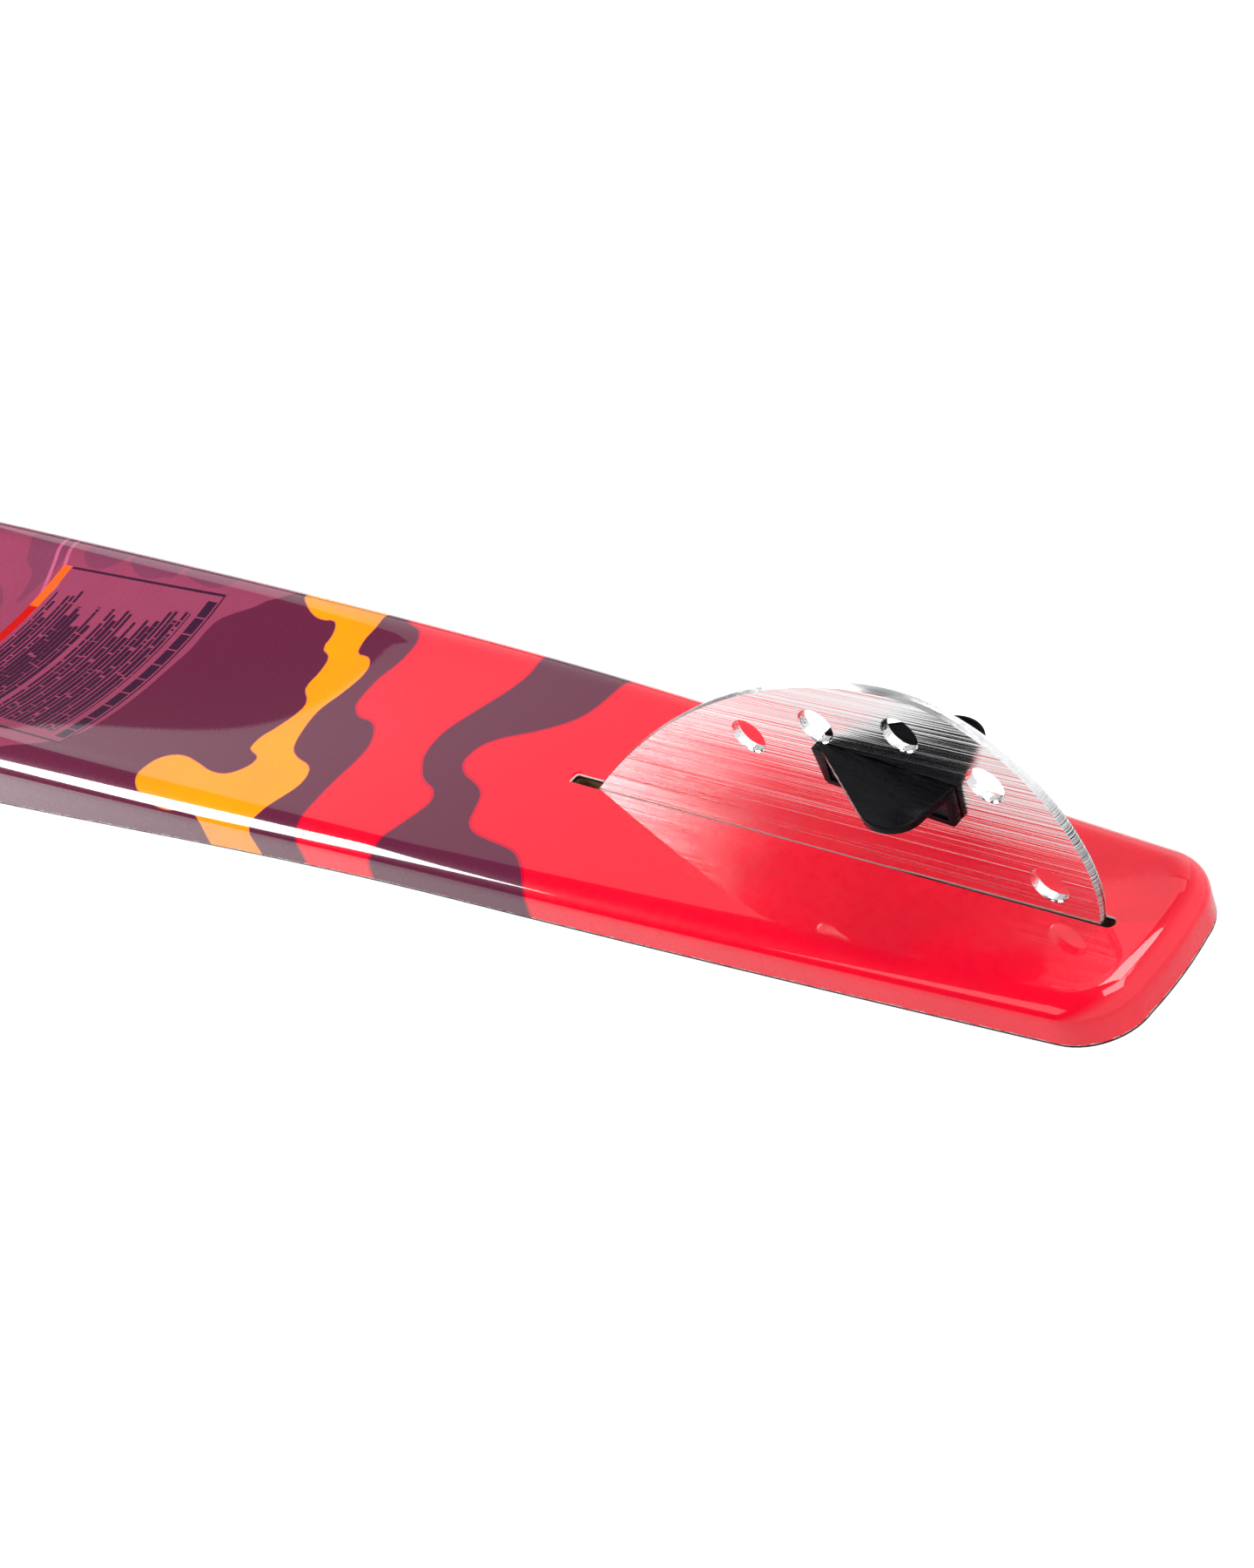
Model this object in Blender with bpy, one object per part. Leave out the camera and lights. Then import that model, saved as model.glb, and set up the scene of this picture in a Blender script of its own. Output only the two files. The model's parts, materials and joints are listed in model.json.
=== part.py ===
"""A slalom water ski lying base side up, with its drop-through fin, wing and fin block.

Everything is laid out in the tail frame: x runs along the ski towards the tail from the fin's
front corner, y runs across it and z is the way the flat tail of the base faces, with z = 0 on the
base.  s is the distance forward of the tail end.  The tail frame is then tipped as the ski lies on
a bench, standing on its nose and on the fin block, and centred over the world origin.
"""

import math

import bmesh
import bpy
from mathutils import Matrix, Vector

MM = 0.001
GAP = 0.3 * MM                   # play left between touching pieces
CLEAR = 2 * MM                   # how far a cutter reaches past what it cuts

# Ski body
SKI_LENGTH = 1680 * MM
TAIL_X = 199 * MM                # tail end, from the fin's front corner
TAIL_CROWN = 0.8 * MM
TAIL_CORNER = 16.5 * MM          # corner radius of the squared tail
HALF_WIDTH_TAIL = 30.6 * MM
HALF_WIDTH_MAX = 75 * MM
HALF_WIDTH_NOSE = 43 * MM        # before the nose is rounded off
WIDEST_AT = 1000 * MM            # from the tail end
NOSE_LENGTH = 100 * MM           # the rounded stretch
NOSE_STOP = math.radians(84)     # where the round nose is squared off, out of 90 degrees
SIDE_TAIL = 12.6 * MM            # base to parting line
SIDE_MID = 25.6 * MM
SIDE_NOSE = 9 * MM
FLAT_TAIL_END = 235 * MM         # the tail keeps one thickness up to here
THICK_FROM = 600 * MM
THIN_FROM = 980 * MM
DECK_RISE_TAIL = 1.6 * MM        # parting line to deck
DECK_RISE_MID = 3.4 * MM
DECK_BEVEL = 9 * MM
SHOULDER_WIDTH = (8.6 * MM, 12.4 * MM)     # tail, middle
SHOULDER_DROP = (5.1 * MM, 7.6 * MM)
TUNNEL_DEPTH = 7.5 * MM
TUNNEL_FULL = 500 * MM
TUNNEL_FADE, TUNNEL_END = 1000 * MM, 1450 * MM
FLAT_BASE_TO = 30 * MM           # the base is flat to here, forward of the fin's front corner
REAR_SLOPE = 0.027               # how far the rear half then leans off the tail's plane
REAR_SLOPE_OVER = 90 * MM
NOSE_ROCKER_FROM = 520 * MM      # forward of where the flat ends
NOSE_ROCKER = 0.098              # drop per cubed metre
SKIN = 1.6 * MM
DECK_SKIN = 1.25 * MM
RIM = 2.5 * MM
ACROSS = 6                       # facets across the ski

# Fin slot, pad and blade
SLOT_X = (-12.4 * MM, 183.1 * MM)
SLOT_HALF = 2.1 * MM
PAD_X = (-36 * MM, 187 * MM)
PAD_HALF = 18 * MM
FIN_LENGTH = 180 * MM
FIN_THICKNESS = 3 * MM
FIN_EDGE = 0.9 * MM              # what the bevels leave of the rim
FIN_BEVEL = 0.6 * MM
FIN_PEAK = (130 * MM, 65.7 * MM)
FOOT_INSET = 1.5 * MM            # the part in the slot is this much shorter at each end
FOOT_DEPTH = 12 * MM
TANG_X = (20 * MM, 160 * MM)
TANG_BOTTOM = -31 * MM
WATER_HOLES = ((77.2, 38.9), (104.6, 48.6), (133.6, 52.3), (156.8, 41.2), (167.0, 9.8))
WATER_HOLE_R = 5.4 * MM

# Wing
WING_CORNER = (103.2 * MM, 43.7 * MM)
WING_PITCH = math.radians(7)
WING_CHORD = 43.8 * MM
WING_NOSE = (32.7 * MM, 12.6 * MM, 9.1 * MM)   # centre along, centre out, radius of the tip
WING_PLATE = 2.2 * MM
FLANGE_DEPTH = 12.3 * MM
FLANGE_THICK = 2.6 * MM
FLANGE_LEAN = 2 * MM             # how far the front edge leans back on its way down
FLANGE_CORNER = 0.8 * MM
FLANGE_OVERLAP = 0.5 * MM        # how far the flange's top sits inside the plate
RECESS = 0.8 * MM
RECESS_EDGE = 2 * MM             # what the recess leaves of the flange's ends
WING_SCREW_HEAD = (2.5 * MM, 1.7 * MM)     # radius, height
WING_SCREW_END = 3.2 * MM        # what the screw shows beyond the far flange
WING_NUT = (2.7 * MM, 2.2 * MM)
PIVOT = (10 * MM, 5.8 * MM)      # along the wing, below its top face
LOCK = (34 * MM, 5.8 * MM)
LOCK_SWEEP = math.radians(12)
WING_SCREW_R = 1.5 * MM

# Fin block under the deck
DECK_Z = -(SIDE_TAIL + DECK_RISE_TAIL)
BLOCK_X = (15 * MM, 165 * MM)
RAIL_TOP = DECK_Z - GAP
RAIL_BOTTOM = -34.5 * MM
RAIL_Y = (1.8 * MM, 6.6 * MM, 19 * MM)     # blade face, back of the wall, foot edge
FOOT_THICK = 4 * MM
CAP_THICK = 3.6 * MM
FORE_AFT = (-6 * MM, 1.5 * MM)
MOUNT_X = (38 * MM, 142 * MM)
MOUNT_Y = 12.8 * MM
MOUNT_R = 2 * MM
MOUNT_HEAD = (4 * MM, 3 * MM)
MOUNT_REACH = 7 * MM             # how far the screw goes into its insert
CLAMP_X = (56 * MM, 80 * MM, 104 * MM, 128 * MM)
CLAMP_Z = -24 * MM
CLAMP_R = 2 * MM
CLAMP_HEAD = (3.5 * MM, 3.6 * MM)
CLAMP_END = 1.5 * MM             # what the screw shows beyond the far rail
SMALL_R = 1.2 * MM               # screws that hold the block together
DEPTH_TRAVEL = 2 * MM
CAP_OVERHANG = 1.4 * MM          # how far the cap stands out past the rails
CAP_SCREW_X = (30 * MM, 150 * MM)
CAP_SCREW_HEAD = (2.5 * MM, 1.4 * MM)
CAP_SCREW_LENGTH = 9 * MM
DEPTH_SCREW_X = (44 * MM, 136 * MM)
DEPTH_SCREW_R = 1.6 * MM
DEPTH_SCREW_SET_IN = 0.4 * MM
DEPTH_KEY = (0.9 * MM, 2.2 * MM)           # radius, depth of the key hole
ADJUSTER_Z = -21 * MM
ADJUSTER_R = 2 * MM
ADJUSTER_HEAD = (3.6 * MM, 3.6 * MM)
ADJUSTER_SHORT = 1 * MM          # how far the tip stops short of the bridge's rear face
COLLAR_LENGTH = 3 * MM
BRIDGE_X = (8 * MM, 14.7 * MM)
BRIDGE_THICK = BRIDGE_X[1] - BRIDGE_X[0]
BRIDGE_HALF = 9 * MM
BRIDGE_Z = (-33.5 * MM, -17 * MM)
BRIDGE_SCREW_Z = -29.5 * MM
BRIDGE_SCREW_HEAD = (2.2 * MM, 2 * MM)
BRIDGE_SCREW_LENGTH = 11.5 * MM
POST_X = (-28 * MM, -18 * MM)
POST_HALF = 8 * MM
POST_HEIGHT = 11 * MM
POST_SCREW_Y = 5.3 * MM
POST_SCREW_R = 1.5 * MM
POST_SCREW_HEAD = (2.6 * MM, 2.4 * MM)
POST_SCREW_LENGTH = 19 * MM

# Binding fixings
FRONT_PLATE = (700 * MM, 900 * MM, 40 * MM)     # from, to, half width
REAR_PLATE = (470 * MM, 630 * MM, 36 * MM)
FRONT_INSERTS = ((730, 800, 870), 31)
REAR_INSERTS = ((510, 590), 28)
PLATE_THICK = 5 * MM
PLATE_MARGIN = 1.6 * MM
INSERT_R = 3.5 * MM
INSERT_BORE = 2.3 * MM
INSERT_LENGTH = 8 * MM
INSERT_SET_IN = 0.2 * MM

FINISHES = {
    "base": ((0.78, 0.02, 0.04), 0.0, 0.12),
    "deck": ((0.03, 0.03, 0.035), 0.0, 0.4),
    "foam": ((0.75, 0.66, 0.42), 0.0, 0.9),
    "phenolic": ((0.25, 0.12, 0.05), 0.0, 0.6),
    "brass": ((0.75, 0.58, 0.25), 1.0, 0.35),
    "fin": ((0.77, 0.77, 0.78), 1.0, 0.28),
    "wing": ((0.012, 0.012, 0.015), 0.0, 0.3),
    "block": ((0.05, 0.05, 0.055), 1.0, 0.4),
    "steel": ((0.6, 0.6, 0.6), 1.0, 0.3),
}


# ---------------------------------------------------------------- scene helpers

def clear_scene():
    """Remove every object already in the file."""
    for old in list(bpy.data.objects):
        bpy.data.objects.remove(old, do_unlink=True)


def empty(name, parent=None, location=(0, 0, 0), turn_y=0.0):
    """An empty that other pieces hang on."""
    frame = bpy.data.objects.new(name, None)
    frame.empty_display_size = 0.02
    frame.location = location
    frame.rotation_euler = (0, turn_y, 0)
    frame.parent = parent
    bpy.context.collection.objects.link(frame)
    return frame


def paint(obj, finish):
    """Give a piece a material of its own."""
    colour, metallic, roughness = FINISHES[finish]
    material = bpy.data.materials.new(obj.name)
    material.use_nodes = True
    shader = material.node_tree.nodes["Principled BSDF"]
    shader.inputs["Base Color"].default_value = (*colour, 1)
    shader.inputs["Metallic"].default_value = metallic
    shader.inputs["Roughness"].default_value = roughness
    obj.data.materials.append(material)


def solid(name, vertices, faces, parent, finish=None, smooth=None):
    """One closed mesh object; without a finish it is a cutter."""
    mesh = bpy.data.meshes.new(name)
    mesh.from_pydata(vertices, [], faces)
    shell = bmesh.new()
    shell.from_mesh(mesh)
    bmesh.ops.recalc_face_normals(shell, faces=shell.faces)
    shell.to_mesh(mesh)
    shell.free()
    obj = bpy.data.objects.new(name, mesh)
    obj.parent = parent
    bpy.context.collection.objects.link(obj)
    if smooth is not None:
        mesh.shade_smooth()
        mesh.set_sharp_from_angle(angle=math.radians(smooth))
    if finish:
        paint(obj, finish)
    else:
        obj.hide_render = True
        obj.display_type = "WIRE"
    return obj


def boolean(obj, tool, operation="DIFFERENCE"):
    """Cut a piece with a cutter, or join a tool onto it."""
    modifier = obj.modifiers.new(tool.name, "BOOLEAN")
    modifier.operation = operation
    modifier.solver = "EXACT"
    modifier.object = tool


def prism(name, outline, low, high, parent, finish=None, axis="z", smooth=None):
    """An outline extruded from low to high along z (outline in x, y) or y (outline in x, z)."""
    count = len(outline)
    if axis == "z":
        rings = [[(a, b, level) for a, b in outline] for level in (low, high)]
    else:
        rings = [[(a, level, b) for a, b in outline] for level in (low, high)]
    faces = [tuple(range(count)), tuple(range(count, 2 * count))]
    faces += [(i, (i + 1) % count, (i + 1) % count + count, i + count) for i in range(count)]
    return solid(name, rings[0] + rings[1], faces, parent, finish, smooth)


def box(name, low, high, parent, finish=None):
    """A rectangular block between two corners."""
    outline = ((low[0], low[1]), (high[0], low[1]), (high[0], high[1]), (low[0], high[1]))
    return prism(name, outline, low[2], high[2], parent, finish)


def stadium(low, high, half, centre=0.0, steps=6):
    """A slot's outline: two half circles joined by straight sides."""
    points = []
    for end, start in ((high - half, -90), (low + half, 90)):
        for step in range(steps + 1):
            angle = math.radians(start + 180 * step / steps)
            points.append((end + half * math.cos(angle), centre + half * math.sin(angle)))
    return points


def circle(radius, centre=(0.0, 0.0), sides=24):
    """A circle's outline."""
    angles = [2 * math.pi * step / sides for step in range(sides)]
    return [(centre[0] + radius * math.cos(a), centre[1] + radius * math.sin(a)) for a in angles]


def turned(name, profile, parent, finish, location, direction, sides=12, tube=False):
    """A turned piece: profile gives radius, height and, if True, a hexagonal ring there.

    Heights run along direction from location.  A tube's profile closes on itself.
    """
    vertices = []
    for radius, height, hexagonal in profile:
        for step in range(sides):
            reach = radius
            if hexagonal and step % 2:
                reach *= math.cos(math.pi / 6)
            angle = 2 * math.pi * step / sides
            vertices.append((reach * math.cos(angle), reach * math.sin(angle), height))
    rows = len(profile)
    faces = []
    for row in range(rows if tube else rows - 1):
        upper = (row + 1) % rows
        for step in range(sides):
            after = (step + 1) % sides
            faces.append((row * sides + step, row * sides + after,
                          upper * sides + after, upper * sides + step))
    if not tube:
        faces += [tuple(range(sides)), tuple(range((rows - 1) * sides, rows * sides))]
    obj = solid(name, vertices, faces, parent, finish, smooth=35)
    obj.location = location
    obj.rotation_euler = Vector(direction).to_track_quat("Z", "Y").to_euler()
    return obj


def socket_screw(name, parent, head, shank, location, direction, finish="steel", sides=12):
    """A cap screw: head (radius, height) above location, shank (radius, length) along direction."""
    socket = 0.52 * head[0]
    profile = [(shank[0], shank[1], False), (shank[0], 0, False), (head[0], 0, False),
               (head[0], -head[1], False), (socket, -head[1], True),
               (socket, -0.45 * head[1], True)]
    return turned(name, profile, parent, finish, location, direction, sides)


def flush_screw(name, parent, head, shank, location, direction):
    """A countersunk screw whose flat top is at location."""
    socket = 0.5 * head[0]
    profile = [(shank[0], shank[1], False), (shank[0], head[1], False), (head[0], 0, False),
               (socket, 0, True), (socket, 0.7 * head[1], True)]
    return turned(name, profile, parent, "steel", location, direction)


# ---------------------------------------------------------------- ski body

def smooth_step(value, low, high):
    """0 below low, 1 above high and an S-curve between."""
    t = min(max((value - low) / (high - low), 0.0), 1.0)
    return t * t * (3 - 2 * t)


def swell(s):
    """0 at the tail and the nose, 1 in the thick middle."""
    return smooth_step(s, FLAT_TAIL_END, THICK_FROM) * (1 - smooth_step(s, THIN_FROM, 1500 * MM))


def blend(ends, s):
    """A size that goes from its tail value to its middle value."""
    return ends[0] + (ends[1] - ends[0]) * swell(s)


def side_height(s):
    """Base to parting line."""
    rear = SIDE_TAIL + (SIDE_MID - SIDE_TAIL) * smooth_step(s, FLAT_TAIL_END, THICK_FROM)
    return rear + (SIDE_NOSE - SIDE_MID) * smooth_step(s, THIN_FROM, SKI_LENGTH)


def deck_depth(s):
    """Base to deck."""
    return side_height(s) + blend((DECK_RISE_TAIL, DECK_RISE_MID), s)


def tunnel(s):
    """Depth of the concave base at its middle."""
    rear = smooth_step(s, FLAT_TAIL_END, TUNNEL_FULL)
    return TUNNEL_DEPTH * rear * (1 - smooth_step(s, TUNNEL_FADE, TUNNEL_END))


def base_z(x):
    """Height of the base's edge: flat at the tail, then falling away to the nose."""
    forward = max(-x - FLAT_BASE_TO, 0.0)
    nose = max(forward - NOSE_ROCKER_FROM, 0.0)
    return -REAR_SLOPE * forward ** 2 / (forward + REAR_SLOPE_OVER) - NOSE_ROCKER * nose ** 3


def half_width(s):
    """Half the ski's width, before the ends are rounded."""
    if s < WIDEST_AT:
        narrowing = (HALF_WIDTH_MAX - HALF_WIDTH_TAIL) * (1 - s / WIDEST_AT) ** 2
    else:
        forward = (s - WIDEST_AT) / (SKI_LENGTH - WIDEST_AT)
        narrowing = (HALF_WIDTH_MAX - HALF_WIDTH_NOSE) * forward ** 2.5
    return HALF_WIDTH_MAX - narrowing


def stations(nose_steps=7, body_steps=22, tail_steps=4, corner_steps=6):
    """The outline of one side as (s, x, half width, outward normal), from nose to tail."""
    places = []
    for step in range(nose_steps):
        angle = NOSE_STOP * (1 - step / nose_steps)
        s = SKI_LENGTH - NOSE_LENGTH * (1 - math.sin(angle))
        places.append((s, half_width(s) * math.cos(angle)))
    spans = ((SKI_LENGTH - NOSE_LENGTH, FLAT_TAIL_END, body_steps),
             (FLAT_TAIL_END, TAIL_CORNER, tail_steps))
    for start, end, steps in spans:
        for step in range(steps):
            s = start + (end - start) * step / steps
            places.append((s, half_width(s)))
    for step in range(corner_steps + 1):
        angle = math.pi / 2 * step / corner_steps
        s = TAIL_CORNER * (1 - math.sin(angle))
        places.append((s, half_width(s) - TAIL_CORNER * (1 - math.cos(angle))))
    points = [(TAIL_X - s, width) for s, width in places]
    before = [(points[0][0], -points[0][1])] + points[:-1]
    after = points[1:] + [(points[-1][0], -points[-1][1])]
    result = []
    for (s, width), (x, _), (x0, y0), (x1, y1) in zip(places, points, before, after):
        normal = Vector((y0 - y1, x1 - x0)).normalized()
        result.append((s, x, width, normal))
    return result


def ring(level, places):
    """One loop round the ski; level gives the inset from the outline and the depth at s."""
    def edge(place, side):
        s, x, width, normal = place
        inset, depth = level(s)
        at = x - inset * normal.x
        return Vector((at, side * (width - inset * normal.y), base_z(at) - depth))

    def across(start, end, crown):
        between = []
        for column in range(1, ACROSS):
            part = column / ACROSS
            bulge = Vector((crown * (1 - (2 * part - 1) ** 2), 0, 0))
            between.append(start.lerp(end, part) + bulge)
        return between

    left = [edge(place, 1) for place in places]
    right = [edge(place, -1) for place in places]
    tail = across(left[-1], right[-1], TAIL_CROWN)
    nose = across(right[0], left[0], 0.0)
    return left + tail + right[::-1] + nose


def cap(vertices, faces, start, places, concave):
    """Close a ring that starts at index start with rows of facets across the ski."""
    last = len(places) - 1
    rows = []
    for i, place in enumerate(places):
        left = start + i
        right = start + last + ACROSS + last - i
        row = [left]
        for column in range(1, ACROSS):
            if i == last:
                row.append(start + last + column)
            elif i == 0:
                row.append(right + ACROSS - column)
            else:
                part = column / ACROSS
                point = vertices[left].lerp(vertices[right], part)
                if concave:
                    point = point - Vector((0, 0, tunnel(place[0]) * (1 - (2 * part - 1) ** 2)))
                row.append(len(vertices))
                vertices.append(point)
        row.append(right)
        rows.append(row)
    for row, following in zip(rows, rows[1:]):
        for column in range(ACROSS):
            faces.append((row[column], row[column + 1], following[column + 1], following[column]))


def hull(name, levels, concave, parent, finish):
    """A closed body: a cap, the rings of levels down its side, and the cap that closes it."""
    places = stations()
    rings = [ring(level, places) for level in levels]
    count = len(rings[0])
    vertices = [point for loop in rings for point in loop]
    faces = []
    for row in range(len(rings) - 1):
        low = row * count
        faces += [(low + k, low + (k + 1) % count, low + count + (k + 1) % count, low + count + k)
                  for k in range(count)]
    cap(vertices, faces, 0, places, concave[0])
    cap(vertices, faces, (len(rings) - 1) * count, places, concave[1])
    return solid(name, [tuple(v) for v in vertices], faces, parent, finish, smooth=25)


def shoulder(angle, wall):
    """A level on the rounded shoulder, wall thick inside the outer surface."""
    def level(s):
        width = blend(SHOULDER_WIDTH, s)
        drop = blend(SHOULDER_DROP, s)
        return width - (width - wall) * math.sin(angle), wall + drop * (1 - math.cos(angle))
    return level


def side(inset, lift):
    """A level at the parting line, lifted towards the base by lift."""
    return lambda s: (inset, side_height(s) - lift)


def deck(inset, part, lift=0.0):
    """A level between the parting line (part 0) and the deck (part 1)."""
    return lambda s: (inset, side_height(s) + part * (deck_depth(s) - side_height(s)) - lift)


def base_shell(parent):
    """Base laminate and side walls, an open tray."""
    levels = [shoulder(math.radians(a), 0.0) for a in (0, 25, 50, 72, 90)]
    levels += [side(0.0, GAP / 2), side(SKIN, GAP / 2)]
    levels += [shoulder(math.radians(a), SKIN) for a in (90, 45, 0)]
    return hull("base_shell", levels, (True, True), parent, "base")


def top_shell(parent):
    """Deck laminate, closing the tray at the parting line."""
    levels = [deck(DECK_BEVEL, 1.0, DECK_SKIN), side(RIM, -GAP / 2), side(0.0, -GAP / 2),
              deck(0.4 * MM, 0.4), deck(3 * MM, 0.75), deck(DECK_BEVEL, 1.0)]
    return hull("top_shell", levels, (False, False), parent, "deck")


def foam_core(parent):
    """The core that fills the space between the two laminates."""
    inside = SKIN + GAP
    levels = [shoulder(math.radians(a), inside) for a in (0, 45, 90)]
    levels += [side(inside, GAP / 2), side(RIM, GAP / 2),
               deck(DECK_BEVEL, 1.0, DECK_SKIN + GAP)]
    return hull("foam_core", levels, (True, False), parent, "foam")


def deck_point(s, y):
    """A point on the deck, and the slope of the deck there as a turn about y."""
    step = 5 * MM
    heights = [base_z(TAIL_X - place) - deck_depth(place) for place in (s - step, s + step)]
    middle = sum(heights) / 2
    return Vector((TAIL_X - s, y, middle)), math.atan2(heights[1] - heights[0], 2 * step)


def outward(turn_y):
    """The way the deck faces where it slopes by turn_y."""
    return Matrix.Rotation(turn_y, 3, "Y") @ Vector((0, 0, -1))


def insert(name, at, direction, parent, hosts):
    """A threaded brass insert let into the deck, and the hole it sits in."""
    into = -direction
    profile = [(INSERT_R, 0, False), (INSERT_R, INSERT_LENGTH, False),
               (INSERT_BORE, INSERT_LENGTH, False), (INSERT_BORE, 0, False)]
    turned(name, profile, parent, "brass", at + into * INSERT_SET_IN, into, tube=True)
    bottom = INSERT_SET_IN + INSERT_LENGTH + GAP
    hole = turned(name + "_hole", [(INSERT_R + GAP, -CLEAR, False),
                                   (INSERT_R + GAP, bottom, False)],
                  parent, None, at, into)
    for host in hosts:
        boolean(host, hole)


def binding_fixing(label, plate_size, layout, parent, core, skin):
    """A plate buried in the core behind the deck, with the inserts a binding screws into."""
    start, end, half = plate_size
    middle, turn = deck_point((start + end) / 2, 0.0)
    frame = empty(label + "_plate_frame", parent, middle, turn)
    low = DECK_SKIN + PLATE_MARGIN
    reach = (end - start) / 2
    plate = box(label + "_binding_plate", (-reach, -half, low),
                (reach, half, low + PLATE_THICK), frame, "phenolic")
    pocket = box(label + "_plate_pocket", (-reach - GAP, -half - GAP, low - GAP),
                 (reach + GAP, half + GAP, low + PLATE_THICK + GAP), frame)
    boolean(core, pocket)
    rows, offset = layout
    number = 0
    for place in rows:
        for y in (-offset, offset):
            number += 1
            at, slope = deck_point(place * MM, y * MM)
            insert(f"{label}_insert_{number}", at, outward(slope), parent, (plate, core, skin))


# ---------------------------------------------------------------- fin and wing

def bezier(points, steps):
    """Points along a cubic curve, without its last one."""
    result = []
    for step in range(steps):
        t = step / steps
        weights = ((1 - t) ** 3, 3 * t * (1 - t) ** 2, 3 * t * t * (1 - t), t ** 3)
        result.append(tuple(sum(w * p[k] for w, p in zip(weights, points)) for k in (0, 1)))
    return result


def fin_rim(steps=16):
    """The fin's curved rim, from its front corner over the peak to its rear corner."""
    front = ((0, 0), (34 * MM, 33 * MM), (85 * MM, FIN_PEAK[1]), FIN_PEAK)
    rear = (FIN_PEAK, (171 * MM, FIN_PEAK[1]), (188.2 * MM, 22.2 * MM), (FIN_LENGTH, 0))
    return bezier(front, steps) + bezier(rear, steps) + [(FIN_LENGTH, 0)]


def fin_blade(parent):
    """The plate that drops through the slot, bevelled round its rim, with its holes."""
    rim = fin_rim()
    front, rear = FOOT_INSET, FIN_LENGTH - FOOT_INSET
    tang = [(rear, -FOOT_DEPTH), (TANG_X[1], -FOOT_DEPTH), (TANG_X[1], TANG_BOTTOM),
            (TANG_X[0], TANG_BOTTOM), (TANG_X[0], -FOOT_DEPTH), (front, -FOOT_DEPTH)]
    full = rim + tang
    inner = list(full)
    for i in range(1, len(rim) - 1):
        (x0, z0), (x1, z1) = rim[i - 1], rim[i + 1]
        normal = Vector((z0 - z1, x1 - x0)).normalized()
        inner[i] = (rim[i][0] - FIN_BEVEL * normal.x, rim[i][1] - FIN_BEVEL * normal.y)
    layers = ((inner, -FIN_THICKNESS / 2), (full, -FIN_EDGE / 2),
              (full, FIN_EDGE / 2), (inner, FIN_THICKNESS / 2))
    count = len(full)
    vertices = [(x, y, z) for outline, y in layers for x, z in outline]
    faces = [tuple(range(count)), tuple(range(3 * count, 4 * count))]
    for layer in range(3):
        low = layer * count
        faces += [(low + k, low + (k + 1) % count, low + count + (k + 1) % count, low + count + k)
                  for k in range(count)]
    blade = solid("fin_blade", vertices, faces, parent, "fin", smooth=20)
    outlines = [circle(WATER_HOLE_R, (x * MM, z * MM), 28) for x, z in WATER_HOLES]
    for x in CLAMP_X:
        reach = CLAMP_R + GAP + DEPTH_TRAVEL
        tall = stadium(CLAMP_Z - reach, CLAMP_Z + reach, CLAMP_R + GAP, x)
        outlines.append([(across, up) for up, across in tall])
    outlines += wing_holes()
    for number, outline in enumerate(outlines):
        cutter = prism(f"fin_hole_{number}", outline, -CLEAR, CLEAR, parent, axis="y")
        boolean(blade, cutter)


def wing_point(along, below):
    """Where a point of the wing lies on the fin at rest, as x and z."""
    sine, cosine = math.sin(WING_PITCH), math.cos(WING_PITCH)
    return (WING_CORNER[0] + along * cosine - below * sine,
            WING_CORNER[1] - along * sine - below * cosine)


def wing_holes():
    """The pivot hole in the fin, and the curved slot that the locking screw moves in."""
    radius = WING_SCREW_R + GAP
    pivot = wing_point(*PIVOT)
    arm = LOCK[0] - PIVOT[0]
    slot = []
    for reach, angles in ((arm + radius, range(-4, 5)), (arm - radius, range(4, -5, -1))):
        for step in angles:
            angle = -WING_PITCH + LOCK_SWEEP * step / 4
            slot.append((pivot[0] + reach * math.cos(angle), pivot[1] + reach * math.sin(angle)))
    return [circle(radius, pivot, 16), slot]


def wing_outline(steps=9):
    """The plate's outline: a straight leading edge, a round tip and a square trailing edge."""
    along, out, radius = WING_NOSE
    lean = math.atan2(out, along) + math.asin(radius / math.hypot(along, out))
    start = lean + math.pi / 2
    tip = []
    for step in range(steps + 1):
        angle = start * (1 - step / steps)
        tip.append((along + radius * math.cos(angle), out + radius * math.sin(angle)))
    return [(0, 0)] + tip + [(WING_CHORD, 0)]


def wing(name, side_sign, parent):
    """One wing: a plate standing out from the fin, and the flange that is screwed to it."""
    root = FIN_THICKNESS / 2 + GAP
    shrink = 1 - root / (2 * WING_NOSE[1])
    outline = [(x, side_sign * (root + y * shrink)) for x, y in wing_outline()]
    plate = prism(name, outline, -WING_PLATE, 0, parent, "wing", smooth=30)
    flange_low, flange_high = sorted((side_sign * root, side_sign * (root + FLANGE_THICK)))
    low, corner = -FLANGE_DEPTH, FLANGE_CORNER
    profile = [(0, -FLANGE_OVERLAP), (FLANGE_LEAN, low + corner), (FLANGE_LEAN + corner, low),
               (WING_CHORD - corner, low), (WING_CHORD, low + corner),
               (WING_CHORD, -FLANGE_OVERLAP)]
    flange = prism(name + "_flange", profile, flange_low, flange_high, parent, axis="y")
    boolean(plate, flange, "UNION")
    outer = side_sign * (root + FLANGE_THICK)
    recess_low, recess_high = sorted((outer - side_sign * RECESS, outer + side_sign * CLEAR))
    panel = box(name + "_recess",
                (FLANGE_LEAN + RECESS_EDGE, recess_low, -FLANGE_DEPTH + RECESS_EDGE),
                (WING_CHORD - RECESS_EDGE, recess_high, -WING_PLATE - RECESS), parent)
    boolean(plate, panel)
    for number, (along, below) in enumerate((PIVOT, LOCK)):
        hole = prism(f"{name}_hole_{number}", circle(WING_SCREW_R + GAP, (along, -below), 16),
                     flange_low - CLEAR, flange_high + CLEAR, parent, axis="y")
        boolean(plate, hole)


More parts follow.
